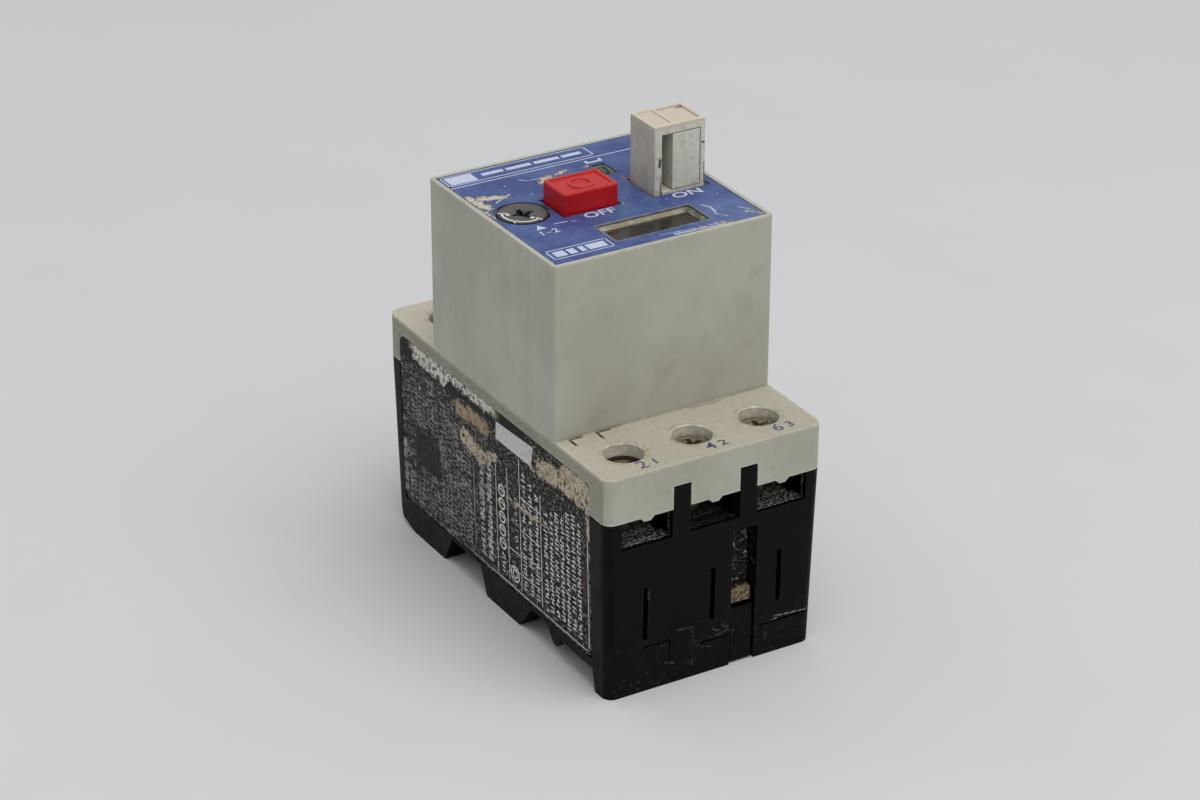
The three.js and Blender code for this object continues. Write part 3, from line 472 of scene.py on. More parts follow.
def dial_plastic():
    g = Graph("dial_grey")
    wear = g.noise(2.0, 5, 0.7)
    g.colour = g.mix(tone(72, 71, 70), tone(98, 96, 94), g.rise(wear, 0.4, 0.68))
    g.coat(tone(112, 92, 76), g.patches(0.55, 0.7, 0.9, 4, 0.6), 0.4)
    # Painted shade: near black on the outer band of the dial, next to the gap round it.
    away_x = g.sub(g.x, DIAL_CENTRE[0])
    away_y = g.sub(g.y, DIAL_CENTRE[1])
    away = g.math("SQRT", g.add(g.mul(away_x, away_x), g.mul(away_y, away_y)))
    g.coat(tone(16, 16, 16), g.rise(away, 4.15, 4.3), 0.92)
    # Painted shade: near black on all of the dial below its top, in the cross slot.
    sunk = g.fall(g.z, 77.5, 77.68)
    g.coat(tone(14, 14, 14), sunk, 0.92)
    rough = g.blend(0.35, 0.6, g.rise(wear, 0.3, 0.7))
    return g.finish(rough, g.mul(g.noise(6.0, 4, 0.6), 0.03))


def moulding(name, main, second, shine):
    """Plain inner moulding with flow marks and dust."""
    g = Graph(name)
    flow = g.noise(0.5, 4, 0.6, g.stretched(1, 0.5, 1), 0.6)
    g.colour = g.mix(main, second, g.rise(flow, 0.35, 0.7))
    # Dirt and painted shade: brown laid into the hollows by how enclosed they are.
    g.coat(tone(70, 60, 46), g.rise(g.hollow(1.0), 0.4, 0.95), 0.5)
    g.coat(tone(60, 50, 40), g.specks(0.5, 0.2, 0.15), 0.6)
    rough = g.blend(shine, shine + 0.2, g.patches(0.3, 0.7, 1.2, 3))
    return g.finish(rough, g.mul(g.noise(6.0, 3, 0.6), 0.015))


# ---- Panel ----


def panel_chips(g):
    """Where the print of the front plate is gone: a share for bare plastic, one for pale scratches."""
    flat = (1, 1, 0)
    ragged = g.add(g.wobble(1.9, 7.0, 6, 0.85), g.wobble(0.6, 2.0, 3, 0.6))
    patches = (
        ((-19.4, 9.4, 0), (-15.2, 8.2, 0), 0.95),
        ((-20.6, 10.6, 0), (-19.8, 5.4, 0), 0.95),
        ((-20.9, 5.8, 0), (-20.9, 1.0, 0), 0.25),
        ((-5.8, 10.4, 0), (-4.4, 11.8, 0), 0.6),
        ((-3.4, 11.8, 0), (0.8, 13.2, 0), 0.25),
        ((4.0, 12.4, 0), (5.4, 13.0, 0), 0.1),
        ((19.2, -18.8, 0), (21.2, -20.9, 0), 0.3),
        ((7.0, -20.9, 0), (14.5, -21.3, 0), 0.1),
    )
    bare = g.strokes(patches, flat, ragged, -0.12, 0.12)
    border = g.least(g.sub(21.3, g.math("ABSOLUTE", g.x)), g.sub(21.55, g.math("ABSOLUTE", g.y)))
    nibbled = g.add(border, g.mul(g.sub(g.flip(g.noise(0.7, 6, 0.8)), 0.37), 3.0))
    bare = g.most(bare, g.fall(nibbled, -0.04, 0.06))
    lines = (
        ((-8.8, 13.7, 0), (-7.6, 12.4, 0), 0.13),
        ((-7.6, 12.4, 0), (-5.2, 12.3, 0), 0.13),
        ((13.6, -12.4, 0), (14.4, -14.0, 0), 0.17),
        ((14.4, -14.0, 0), (14.1, -16.4, 0), 0.22),
        ((13.5, -16.6, 0), (15.3, -19.2, 0), 0.1),
        ((18.8, -16.5, 0), (20.0, -18.1, 0), 0.16),
        ((-9.9, -7.0, 0), (-8.4, -7.6, 0), 0.07),
        ((0.5, -19.9, 0), (7.6, -20.5, 0), 0.1),
        ((3.0, -20.9, 0), (12.4, -21.3, 0), 0.28),
        ((-17.2, 6.6, 0), (-13.4, 8.8, 0), 0.16),
    )
    pale = g.strokes(lines, flat, g.wobble(1.6, 0.7), -0.05, 0.05)
    return bare, g.most(pale, g.mul(g.specks(0.28, 0.22, 0.3), 0.9))


def panel_surface(g):
    """Lays the wear of the front plate over the colour so far. Returns roughness and relief."""
    bare, pale = panel_chips(g)
    cream = g.mix(tone(200, 193, 174), tone(160, 142, 116), g.patches(0.5, 0.66, 1.8, 4, 0.7))
    g.coat(tone(186, 198, 214), pale, 0.85)
    g.coat(cream, bare)
    rough = g.blend(g.blend(0.34, 0.5, g.patches(0.3, 0.7, 0.8, 4, 0.6)), 0.7, bare)
    relief = g.sub(g.mul(g.noise(5.0, 3, 0.6), 0.01), g.mul(bare, 0.05))
    return rough, relief


def panel_print():
    g = Graph("panel_blue")
    clouds = g.noise(0.16, 4, 0.6)
    g.colour = g.mix(tone(58, 74, 131), tone(74, 94, 148), g.rise(clouds, 0.36, 0.66))
    rubbed = g.patches(0.52, 0.74, 0.8, 6, 0.75, g.stretched(0.5, 1.4, 1))
    g.coat(tone(104, 126, 172), rubbed, 0.45)
    g.coat(tone(54, 58, 124), g.patches(0.52, 0.7, 0.3, 3), 0.55)
    fine = g.patches(0.62, 0.72, 4.0, 3, 0.7)
    g.coat(tone(134, 152, 190), fine, 0.35)
    streaks = g.patches(0.56, 0.74, 1.0, 3, 0.6, g.stretched(1.6, 0.16, 1))
    g.coat(tone(96, 128, 176), streaks, g.fall(g.y, -4, 0), 0.35)
    low_corner = g.mul(g.rise(g.x, 6, 15), g.fall(g.y, -14, -9))
    g.coat(tone(122, 144, 184), low_corner, g.add(g.mul(rubbed, 0.3), 0.2))
    greenish = g.mul(g.between(g.x, -6, 7, 3), g.between(g.y, -17, -6, 2.5))
    g.coat(tone(68, 98, 146), greenish, 0.5)
    sill = g.mul(g.between(g.x, -7.7, 12.1, 0.1), g.between(g.y, -18.6, -10.7, 0.1))
    sill = g.mul(sill, g.patches(0.36, 0.56, 1.1, 5, 0.75))
    g.coat(tone(132, 128, 116), sill, 0.8)
    stain = g.fall(g.add(g.reach((7.9, 5.2, 0), (8.1, 2.6, 0), (1, 1, 0)), g.noise(1.2, 3)), 0.7, 1.2)
    g.coat(tone(150, 92, 124), stain, 0.5)
    # Dirt and painted shade: dark blue laid into the hollows and gaps.
    grime_and_shade = g.mul(g.rise(g.hollow(1.2), 0.3, 0.8), g.patches(0.3, 0.6, 1.6, 4, 0.7))
    g.coat(tone(26, 32, 52), grime_and_shade, 0.75)
    rough, relief = panel_surface(g)
    return g.finish(rough, relief, specular=0.35)


def panel_ink():
    g = Graph("panel_ink")
    thin = g.patches(0.54, 0.72, 2.4, 4, 0.7)
    g.colour = g.mix(tone(196, 204, 226), tone(118, 136, 184), g.mul(thin, 0.85))
    rough, relief = panel_surface(g)
    return g.finish(rough, relief)


def dial_ink():
    g = Graph("dial_ink")
    thin = g.patches(0.55, 0.72, 3.0, 3, 0.7)
    g.colour = g.mix(tone(228, 228, 224), tone(150, 148, 142), thin)
    return g.finish(g.blend(0.4, 0.6, thin), g.mul(thin, -0.01))


def ledge_ink():
    g = Graph("ledge_ink")
    thin = g.patches(0.52, 0.7, 2.8, 4, 0.75)
    g.colour = g.mix(tone(78, 80, 112), tone(146, 140, 138), thin)
    return g.finish(g.blend(0.45, 0.6, thin), g.mul(thin, -0.01))


def window_pane():
    g = Graph("window_clear")
    streaks = g.patches(0.5, 0.75, 1.0, 4, 0.7, g.stretched(0.3, 2.6, 1))
    g.colour = g.mix(tone(50, 49, 42), tone(84, 78, 62), streaks)
    left = g.fall(g.x, -5.2, -2.4)
    brown = g.mul(left, g.patches(0.44, 0.6, 0.9, 4, 0.7, g.stretched(0.5, 2.4, 1)))
    g.coat(tone(96, 66, 44), brown, 0.8)
    dusty = g.patches(0.4, 0.7, 1.6, 5, 0.75)
    rough = g.blend(0.12, 0.3, dusty)
    return g.finish(rough, g.mul(g.noise(0.4, 2), 0.05), Alpha=0.6, Coat_Weight=0.3)


def marker_card():
    g = Graph("card_olive")
    g.colour = g.mix(tone(120, 112, 84), tone(96, 88, 66), g.patches(0.4, 0.7, 0.6, 4, 0.6))
    middle = g.between(g.x, -2.6, 5.4, 0.3)
    g.coat(tone(44, 44, 40), middle, 0.85)
    seam = g.most(g.between(g.x, 1.3, 1.5, 0.05), g.between(g.x, 9.0, 9.15, 0.05))
    g.coat(tone(128, 128, 116), seam, 0.5)
    fibres = g.noise(6.0, 4, 0.7, g.stretched(1, 0.3, 1))
    return g.finish(g.blend(0.7, 0.9, fibres), g.mul(fibres, 0.02))


# ---- Side label ----


def label_surface(g):
    """Lays scuffs, peels and stains over the label's colour so far. Returns roughness and relief."""
    flat = (0, 1, 1)
    uneven = g.add(g.wobble(0.5, 7.0, 4, 0.6), g.wobble(1.7, 7.0, 6, 0.85))
    far = g.rise(g.y, -6, 14)
    scrape = g.noise(1.4, 5, 0.9, g.stretched(1, 0.7, 1.2))
    scuffed = g.mul(g.rise(scrape, 0.555, 0.585), g.add(g.mul(far, -0.1), 0.62))
    clouds = g.noise(0.8, 5, 0.8, g.stretched(1, 0.5, 1.1))
    scuffed = g.most(scuffed, g.mul(g.rise(clouds, 0.56, 0.6), far, 0.4))
    box = g.mul(g.between(g.y, 21.0, 30.6, 0.4), g.between(g.z, 16.6, 24.0, 0.5))
    scuffed = g.mul(scuffed, g.flip(g.mul(box, 0.85)))
    faded = g.mul(g.fall(g.noise(0.45, 4, 0.7), 0.48, 0.56), far, 0.6)
    g.coat(tone(24, 23, 23), faded)
    g.coat(tone(204, 200, 192), scuffed)
    below_edge = g.sub(41.4, g.z)
    on_edge = g.between(g.y, -12, 36, 2.0)
    bald = g.mul(on_edge, g.fall(g.add(below_edge, g.mul(uneven, 0.8)), 3.8, 4.3))
    g.coat(tone(14, 14, 14), bald, 0.92)
    rubbed = g.mul(g.between(g.y, -1, 31, 2.0), g.fall(g.add(below_edge, g.mul(uneven, 0.5)), 1.7, 2.1))
    flakes = g.patches(0.5, 0.54, 0.9, 6, 0.9)
    rubbed_tone = g.mix(tone(222, 217, 208), tone(26, 24, 24), flakes)
    wide_rub = ((0, 29, 39.8), (0, 19, 39.6), 1.5)
    rubbed = g.most(rubbed, g.strokes([wide_rub], flat, g.mul(uneven, 0.45), 0.0, 0.4))
    g.coat(rubbed_tone, rubbed, 0.95)
    stain = ((0, 12.6, 35.6), (0, 3.0, 36.0), 1.1)
    stained = g.strokes([stain], flat, g.mul(uneven, 0.55), 0.0, 0.8)
    stain_tone = g.mix(tone(180, 162, 134), tone(140, 112, 80), g.patches(0.42, 0.6, 0.8, 4, 0.7))
    g.coat(stain_tone, stained, 0.78)
    peels = (
        ((0, -33.6, 38.2), (0, -27.0, 38.8), 3.0),
        ((0, -27.0, 37.8), (0, -17.5, 37.0), 1.9),
        ((0, -33.8, 36.6), (0, -33.8, 31.0), 1.0),
        ((0, -33.9, 31.0), (0, -33.9, 14.0), -0.1),
        ((0, -4.6, 25.2), (0, -19.6, 25.6), 0.35),
        ((0, 11.2, 30.6), (0, 4.6, 29.2), 1.7),
        ((0, 4.0, 29.6), (0, -0.6, 31.4), 0.9),
        ((0, -13.6, 35.8), (0, -17.0, 35.2), 0.4),
    )
    peeled = g.strokes(peels, flat, g.mul(uneven, 0.36), -0.1, 0.15)
    glue = g.mix(tone(196, 184, 164), tone(158, 142, 120), g.patches(0.46, 0.62, 1.2, 4, 0.7))
    glue = g.mix(glue, tone(34, 28, 26), g.patches(0.53, 0.57, 1.1, 5, 0.85))
    g.coat(glue, peeled)
    rust_run = ((0, -32.3, 23.0), (0, -32.0, 17.5), 0.4)
    brown = g.strokes([rust_run], flat, g.mul(uneven, 0.4), 0.0, 0.8)
    g.coat(tone(62, 44, 36), brown, 0.75)
    rough = g.blend(g.blend(0.5, 0.7, scuffed), 0.85, peeled)
    relief = g.sub(g.mul(scrape, 0.02), g.mul(peeled, 0.06))
    return rough, relief


def label_film():
    g = Graph("label_black")
    g.colour = g.mix(tone(5, 5, 5), tone(12, 11, 11), g.patches(0.4, 0.7, 0.7, 4, 0.6))
    rough, relief = label_surface(g)
    return g.finish(rough, relief, specular=0.12)


def label_ink():
    g = Graph("label_ink")
    thin = g.patches(0.52, 0.6, 2.6, 5, 0.85)
    strong = g.mix(tone(238, 237, 232), tone(150, 148, 144), g.rise(g.y, -4, 14))
    g.colour = g.mix(strong, tone(52, 51, 50), g.mul(thin, 0.9))
    rough, relief = label_surface(g)
    return g.finish(rough, relief, specular=0.12)


def sticker_paper():
    g = Graph("sticker_paper")
    dirty = g.patches(0.45, 0.75, 0.9, 5, 0.7)
    g.colour = g.mix(tone(206, 202, 200), tone(164, 158, 152), dirty)
    marks = g.patches(0.64, 0.72, 1.6, 5, 0.8)
    g.coat(tone(108, 102, 98), marks, 0.7)
    return g.finish(g.blend(0.6, 0.8, dirty), g.mul(g.noise(5.0, 3), 0.02))


# ---- Metals ----


def metal(name, clean, tarnish, rust_share, shine):
    """Plated or rolled metal with tarnish, and with rust over about rust_share of it."""
    g = Graph(name)
    brushed = g.noise(3.0, 3, 0.6, g.stretched(1, 6, 1))
    g.colour = g.mix(clean, tarnish, g.patches(0.38, 0.7, 0.6, 5, 0.7))
    rust = g.patches(0.72 - 0.5 * rust_share, 0.82 - 0.5 * rust_share, 0.9, 6, 0.8)
    rust_tone = g.mix(tone(122, 66, 32), tone(70, 38, 24), g.patches(0.4, 0.65, 3.0, 4, 0.7))
    g.coat(rust_tone, rust)
    # Dirt and painted shade: near black laid into the hollows, where the metal also turns rough and
    # dull.
    grime_and_shade = g.mul(g.rise(g.hollow(0.8), 0.3, 0.9), 0.7)
    g.coat(tone(28, 24, 20), grime_and_shade)
    rough = g.blend(g.blend(shine, shine + 0.2, brushed), 0.85, g.most(rust, grime_and_shade))
    relief = g.add(g.mul(brushed, 0.008), g.mul(rust, 0.03))
    g.tree.links.new(g.flip(g.most(rust, grime_and_shade)), g.shader.inputs["Metallic"])
    return g.finish(rough, relief)


def terminal_metal():
    """Brass bars, with white and brown crust where the damp came in through the wire entries."""
    g = Graph("terminal_brass")
    brushed = g.noise(3.0, 3, 0.6, g.stretched(1, 6, 1))
    g.colour = g.mix(tone(186, 156, 94), tone(140, 110, 64), g.patches(0.38, 0.7, 0.6, 5, 0.7))
    outside = g.rise(g.math("ABSOLUTE", g.y), 29.0, 31.5)
    crust = g.mul(outside, g.patches(0.3, 0.42, 1.1, 6, 0.8))
    crust_tone = g.mix(tone(92, 58, 40), tone(30, 26, 24), g.patches(0.42, 0.56, 1.2, 4, 0.7))
    grains = g.most(g.patches(0.485, 0.53, 1.5, 5, 0.9), g.specks(1.4, 0.42, 0.55))
    powder = g.mul(grains, g.add(g.mul(outer_poles(g), 0.85), 0.15))
    crust_tone = g.mix(crust_tone, tone(214, 210, 202), powder)
    g.coat(crust_tone, crust)
    g.tree.links.new(g.mul(g.flip(crust), 0.95), g.shader.inputs["Metallic"])
    rough = g.blend(g.blend(0.3, 0.5, brushed), 0.9, crust)
    return g.finish(rough, g.mul(crust, g.noise(3.0, 4, 0.8), 0.25))


def latch_spring_metal():
    """Spring leaf in the channel: black with pale grit above, rusty at its hooked foot."""
    g = Graph("latch_spring_rust")
    grit = g.most(g.patches(0.585, 0.61, 1.3, 5, 0.9), g.specks(0.9, 0.36, 0.35))
    upper = g.mix(tone(5, 5, 5), tone(214, 212, 206), g.mul(grit, 0.85))
    rust = g.mix(tone(146, 128, 104), tone(82, 66, 52), g.patches(0.42, 0.58, 1.3, 5, 0.75))
    rust = g.mix(rust, tone(34, 28, 22), g.mul(g.patches(0.5, 0.58, 1.6, 4, 0.7), 0.7))
    crest = g.between(g.z, 14.6, 15.2, 0.1)
    rust = g.mix(rust, tone(158, 138, 90), g.mul(crest, g.fall(g.x, 6.2, 7.4), 0.6))
    foot = g.fall(g.add(g.z, g.mul(g.noise(0.9, 4, 0.6), 1.2)), 15.2, 15.7)
    g.colour = g.mix(upper, rust, foot)
    rough = g.blend(0.6, 0.85, grit)
    return g.finish(rough, g.mul(g.noise(2.4, 5, 0.8), 0.12), specular=0.25)


def screw_metal():
    g = Graph("screw_steel")
    sparkle = g.noise(1.7, 5, 0.8)
    g.colour = g.mix(tone(186, 178, 160), tone(150, 124, 84), g.rise(sparkle, 0.45, 0.6))
    dirt = g.patches(0.46, 0.62, 0.9, 5, 0.75)
    g.coat(tone(64, 48, 34), dirt, 0.9)
    # Painted shade: near black laid into the slot and hollows of the screw, where it also turns rough
    # and dull.
    deep_shade = g.rise(g.hollow(0.9), 0.35, 0.85)
    g.coat(tone(16, 14, 12), deep_shade, 0.9)
    g.tree.links.new(g.flip(g.most(g.mul(dirt, 0.8), deep_shade)), g.shader.inputs["Metallic"])
    rough = g.blend(0.25, 0.8, g.most(dirt, deep_shade))
    return g.finish(rough, g.add(g.mul(g.noise(4.0, 4, 0.7), 0.05), g.mul(dirt, 0.04)))


MATERIALS = {
    "cover_grey": cover_plastic(),
    "start_grey": start_plastic("start_grey", 0.8),
    "base_black": black_plastic(),
    "panel_blue": panel_print(),
    "label_black": label_film(),
    "window_clear": window_pane(),
    "card_olive": marker_card(),
    "stop_red": red_plastic(),
    "dial_grey": dial_plastic(),
    "test_green": moulding("test_green", tone(92, 118, 96), tone(70, 94, 76), 0.45),
    "cream_moulding": moulding("cream_moulding", tone(206, 196, 168), tone(186, 174, 144), 0.45),
    "brown_moulding": moulding("brown_moulding", tone(92, 58, 36), tone(70, 42, 28), 0.4),
    "spring_steel": metal("spring_steel", tone(176, 176, 176), tone(140, 138, 132), 0.1, 0.25),
    "steel": metal("steel", tone(172, 173, 175), tone(142, 140, 136), 0.1, 0.32),
    "screw_steel": screw_metal(),
    "rusty_steel": metal("rusty_steel", tone(120, 104, 84), tone(84, 62, 46), 0.6, 0.5),
    "brass": metal("brass", tone(196, 164, 96), tone(150, 118, 66), 0.2, 0.3),
    "copper": metal("copper", tone(190, 124, 88), tone(138, 84, 60), 0.05, 0.32),
    "bimetal_strip": metal("bimetal_strip", tone(160, 156, 148), tone(120, 112, 98), 0.15, 0.35),
}
NODE_MATERIALS = {
    "rail_latch_spring": latch_spring_metal(),
    "padlock_slide": start_plastic("slide_grey", 0.2),
}
TERMINAL_METAL = terminal_metal()
for pole in (1, 2, 3):
    NODE_MATERIALS[f"line_terminal_{pole}"] = TERMINAL_METAL
    NODE_MATERIALS[f"load_terminal_{pole}"] = TERMINAL_METAL
PANEL_INK = panel_ink()
DIAL_INK = dial_ink()
LEDGE_INK = ledge_ink()
LABEL_INK = label_ink()
STICKER_PAPER = sticker_paper()

# ---- CAD nodes ----

EDGE_WIDTHS = {
    "front_cover": 0.32,
    "base_housing": 0.22,
    "faceplate": 0.08,
    "marker_card": 0.05,
    "window_lens": 0.12,
    "test_lever": 0.18,
    "rail_latch": 0.2,
    "contact_carrier": 0.2,
}
EDGE_WIDTH = 0.08


def soften(piece, width):
    """Rounds the edges of a piece and smooths its curved walls, leaving flat walls flat."""
    for polygon in piece.data.polygons:
        polygon.use_smooth = True
    weld = piece.modifiers.new("weld", "WELD")
    weld.merge_threshold = 0.001 * MM
    bevel = piece.modifiers.new("bevel", "BEVEL")
    bevel.width = width * MM
    bevel.segments = 2
    bevel.limit_method = "ANGLE"
    bevel.angle_limit = math.radians(34)
    normals = piece.modifiers.new("normals", "WEIGHTED_NORMAL")
    normals.keep_sharp = False


def dress(piece, slot_name, material=None):
    """Gives a piece its material: the one given, or else the one of its slot."""
    piece.data.materials.clear()
    piece.data.materials.append(material or MATERIALS[slot_name])


for part in frame["record"]["subparts"]:
    node = frame["nodes"][part["node"]]
    dress(node, part["material_slot"], NODE_MATERIALS.get(part["node"]))
    soften(node, EDGE_WIDTHS.get(part["node"], EDGE_WIDTH))

# ---- Helpers for the finer pieces ----


def mesh_piece(name, vertices, faces, slot_name, material=None, body=HOUSING, smooth=False):
    """A new piece from points in millimetres, dressed and riding on a body."""
    mesh = bpy.data.meshes.new(name)
    mesh.from_pydata([Vector(point) * MM for point in vertices], [], faces)
    mesh.update()
    for polygon in mesh.polygons:
        polygon.use_smooth = smooth
    piece = bpy.data.objects.new(name, mesh)
    bpy.context.scene.collection.objects.link(piece)
    dress(piece, slot_name, material)
    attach(piece, body)
    return piece


def glyph_shapes(text, size, weight):
    """Outlines of a line of built-in type, as points and faces centred on the origin."""
    curve = bpy.data.curves.new("type", "FONT")
    curve.body = text
    curve.size = size
    curve.offset = weight * size
    curve.align_x = "CENTER"
    curve.align_y = "CENTER"
    curve.resolution_u = 3
    holder = bpy.data.objects.new("type", curve)
    mesh = bpy.data.meshes.new_from_object(holder)
    points = [(vertex.co.x, vertex.co.y) for vertex in mesh.vertices]
    faces = [tuple(polygon.vertices) for polygon in mesh.polygons]
    bpy.data.objects.remove(holder)
    bpy.data.curves.remove(curve)
    bpy.data.meshes.remove(mesh)
    return points, faces


def direction(degrees):
    angle = math.radians(degrees)
    return Vector((math.cos(angle), math.sin(angle)))


class Ink:
    """Flat marks drawn with two coordinates, which lay(a, b) puts on a surface of the object."""

    def __init__(self, lay):
        self.lay = lay
        self.vertices = []
        self.faces = []

    def shape(self, points, faces=None):
        first = len(self.vertices)
        self.vertices.extend(self.lay(a, b) for a, b in points)
        for face in faces or [range(len(points))]:
            self.faces.append(tuple(first + index for index in face))

    def bar(self, a, b):
        self.shape([(a[0], b[0]), (a[1], b[0]), (a[1], b[1]), (a[0], b[1])])

    def line(self, start, end, width):
        along = (Vector(end) - Vector(start)).normalized() * width / 2
        side = Vector((-along.y, along.x))
        start = Vector(start) - along
        end = Vector(end) + along
        self.shape([start - side, end - side, end + side, start + side])

    def frame(self, a, b, width):
        corners = [(a[0], b[0]), (a[1], b[0]), (a[1], b[1]), (a[0], b[1])]
        for start, end in zip(corners, corners[1:] + corners[:1]):
            self.line(start, end, width)

    def arc(self, centre, radius, width, turn=(0, 360), steps=40):
        inner, outer = radius - width / 2, radius + width / 2
        for step in range(steps):
            angles = [turn[0] + (turn[1] - turn[0]) * share / steps for share in (step, step + 1)]
            first, last = (direction(degrees) for degrees in angles)
            ring = (first * inner, first * outer, last * outer, last * inner)
            self.shape([Vector(centre) + point for point in ring])

    def disc(self, centre, radius, sides):
        ring = [direction(360 * side / sides) for side in range(sides)]
        self.shape([Vector(centre) + point * radius for point in ring])

    def type(self, text, centre, size, stretch=1.0, weight=0.018):
        points, faces = glyph_shapes(text, size, weight)
        self.shape([(centre[0] + a * stretch, centre[1] + b) for a, b in points], faces)

    def piece(self, name, slot_name, material, body=HOUSING):
        return mesh_piece(name, self.vertices, self.faces, slot_name, material, body)


# ---- Print on the front plate ----

PLATE_TOP = box_mm("faceplate")[1].z


def on_plate(a, b):
    return (a, b, PLATE_TOP + CLEAR)


def front_plate_print():
    ink = Ink(on_plate)
    ink.line((-21.1, 15.9), (16.0, 15.9), 0.28)
    ink.frame((-20.9, 8.8), (16.9, 21.0), 0.26)
    ink.bar((-20.4, -14.9), (17.3, 20.6))
    for bar_ends in ((-13.4, -9.0), (-8.4, -3.2), (-2.6, 2.6), (3.2, 7.2)):
        ink.bar(bar_ends, (18.4, 19.5))
    ink.frame((-20.4, -8.6), (-19.7, -16.2), 0.24)
    for bar_ends in ((-19.6, -17.4), (-16.9, -15.4), (-14.6, -13.6), (-13.1, -9.4)):
        ink.bar(bar_ends, (-19.0, -16.9))
    ink.type("OFF", (-3.7, -6.5), 3.0, 1.2)
    ink.type("ON", (14.2, -6.8), 3.0, 1.3)
    ink.shape([(-17.0, -7.4), (-15.0, -7.4), (-16.0, -5.7)])
    ink.type("1", (-16.9, -9.1), 2.3)
    ink.line((-15.9, -9.2), (-15.2, -9.2), 0.22)
    ink.type("2", (-14.2, -9.1), 2.3)
    ink.line((-13.0, -6.5), (-10.6, -6.7), 0.24)
    ink.arc((4.1, 5.8), 0.85, 0.34, steps=20)
    ink.bar((5.5, 8.9), (13.7, 14.3))
    ink.bar((5.5, 6.1), (14.3, 15.0))
    ink.bar((8.3, 8.9), (14.3, 15.0))
    for x, width in ((6.4, 0.18), (8.4, 0.3), (10.0, 0.22), (11.2, 0.3), (12.6, 0.2)):
        ink.line((x, -20.4), (x + 0.7, -20.6), width)
    for x, y in ((-9.9, 6.9), (9.6, -7.2), (18.7, -9.5), (-12.4, 12.3), (1.9, -5.0)):
        ink.disc((x, y), 0.17, 8)
    ink.piece("front_plate_print", "panel_blue", PANEL_INK)


# ---- Print on the dial ----


def dial_scale():
    low, high = box_mm("setting_dial")
    middle = (low.xy + high.xy) / 2
    ink = Ink(lambda a, b: (a, b, high.z + CLEAR))
    turn = (152, 292)
    ink.arc(middle, 3.7, 0.36, turn)
    for degrees, inner, outer in ((turn[0], 2.9, 4.25), (turn[1], 3.2, 4.25), (222, 3.5, 4.3)):
        away = direction(degrees)
        ink.line(middle + away * inner, middle + away * outer, 0.34)
    for degrees, radius in ((283, 2.55), (165, 2.7)):
        ink.disc(middle + direction(degrees) * radius, 0.36, 12)
    ink.piece("dial_scale", "dial_grey", DIAL_INK, "setting_dial")


# ---- Terminal numbers on the ledges ----


def terminal_numbers():
    ink = Ink(lambda a, b: (a, b, LEDGE_TOP + CLEAR))
    for pole, x in enumerate(POLES):
        ink.type(str(2 * pole + 2), (x + 0.5, -37.3), 3.6, 1.15, 0.008)
        ink.type(str(pole + 1), (x + 3.1, -37.2), 2.7, 1.2, 0.02)
        ink.type(str(2 * pole + 1), (x + 0.5, 37.2), 3.6, 1.15, 0.008)
        ink.type(str(pole + 1), (x + 3.1, 37.1), 2.7, 1.2, 0.02)
    ink.piece("terminal_numbers", "cover_grey", LEDGE_INK)


# ---- Side label ----

PART_LINE = 35.5
WALL_DRAFT = 0.75
FILM_X = -22.19
LABEL_CORNER = 1.6


def film_lean(z):
    """How far the label leans in below the part line, like the wall behind it."""
    return WALL_DRAFT * max(0.0, PART_LINE - z) / PART_LINE


def on_label(y, z):
    return (FILM_X - CLEAR + film_lean(z), y, z)


def rounded_outline(low, high, radius, steps=5):
    """Corner points of a rounded rectangle in Y and Z, anticlockwise, with points on the part line."""
    points = []
    corners = ((high.y, high.z), (low.y, high.z), (low.y, low.z), (high.y, low.z))
    for corner, (y, z) in enumerate(corners):
        centre_y = y - math.copysign(radius, y)
        centre_z = z - radius if z == high.z else z + radius
        for step in range(steps + 1):
            angle = math.radians(90 * corner + 90 * step / steps)
            points.append((centre_y + radius * math.cos(angle), centre_z + radius * math.sin(angle)))
        if corner in (1, 3):
            points.append((y, PART_LINE))
    return points


def label_piece():
    low, high = box_mm("side_label")
    outline = rounded_outline(low, high, LABEL_CORNER)
    count = len(outline)
    front = [(FILM_X + film_lean(z), y, z) for y, z in outline]
    back = [(FILM_X + 0.12 + film_lean(z), y, z) for y, z in outline]
    upper = [index for index, (_, z) in enumerate(outline) if z >= PART_LINE]
    lower = [index for index, (_, z) in enumerate(outline) if z <= PART_LINE]
    faces = [tuple(reversed(upper)), tuple(reversed(lower))]
    faces.extend(tuple(count + index for index in half) for half in (upper, lower))
    for index in range(count):
        after = (index + 1) % count
        faces.append((index, after, count + after, count + index))
    film = mesh_piece("label_film", front + back, faces, "label_black")
    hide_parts("side_label")


def type_row(ink, chance, y, z, fullness):
    """A row of small plain strokes that runs along Z, as worn type does from afar."""
    height = y[1] - y[0]
    at = z[0]
    while at < z[1]:
        if chance.random() < 0.16 / fullness:
            at += height * chance.uniform(0.35, 0.8)
            continue
        top = y[1] - height * chance.choice((0.0, 0.0, 0.25))
        ink.bar((y[0], top), (at, at + height * 0.2))
        if chance.random() < 0.75:
            middle = chance.uniform(y[0], top - height * 0.25)
            ink.bar((middle, middle + height * 0.24), (at + height * 0.2, at + height * 0.52))
        at += height * chance.uniform(0.58, 0.85)


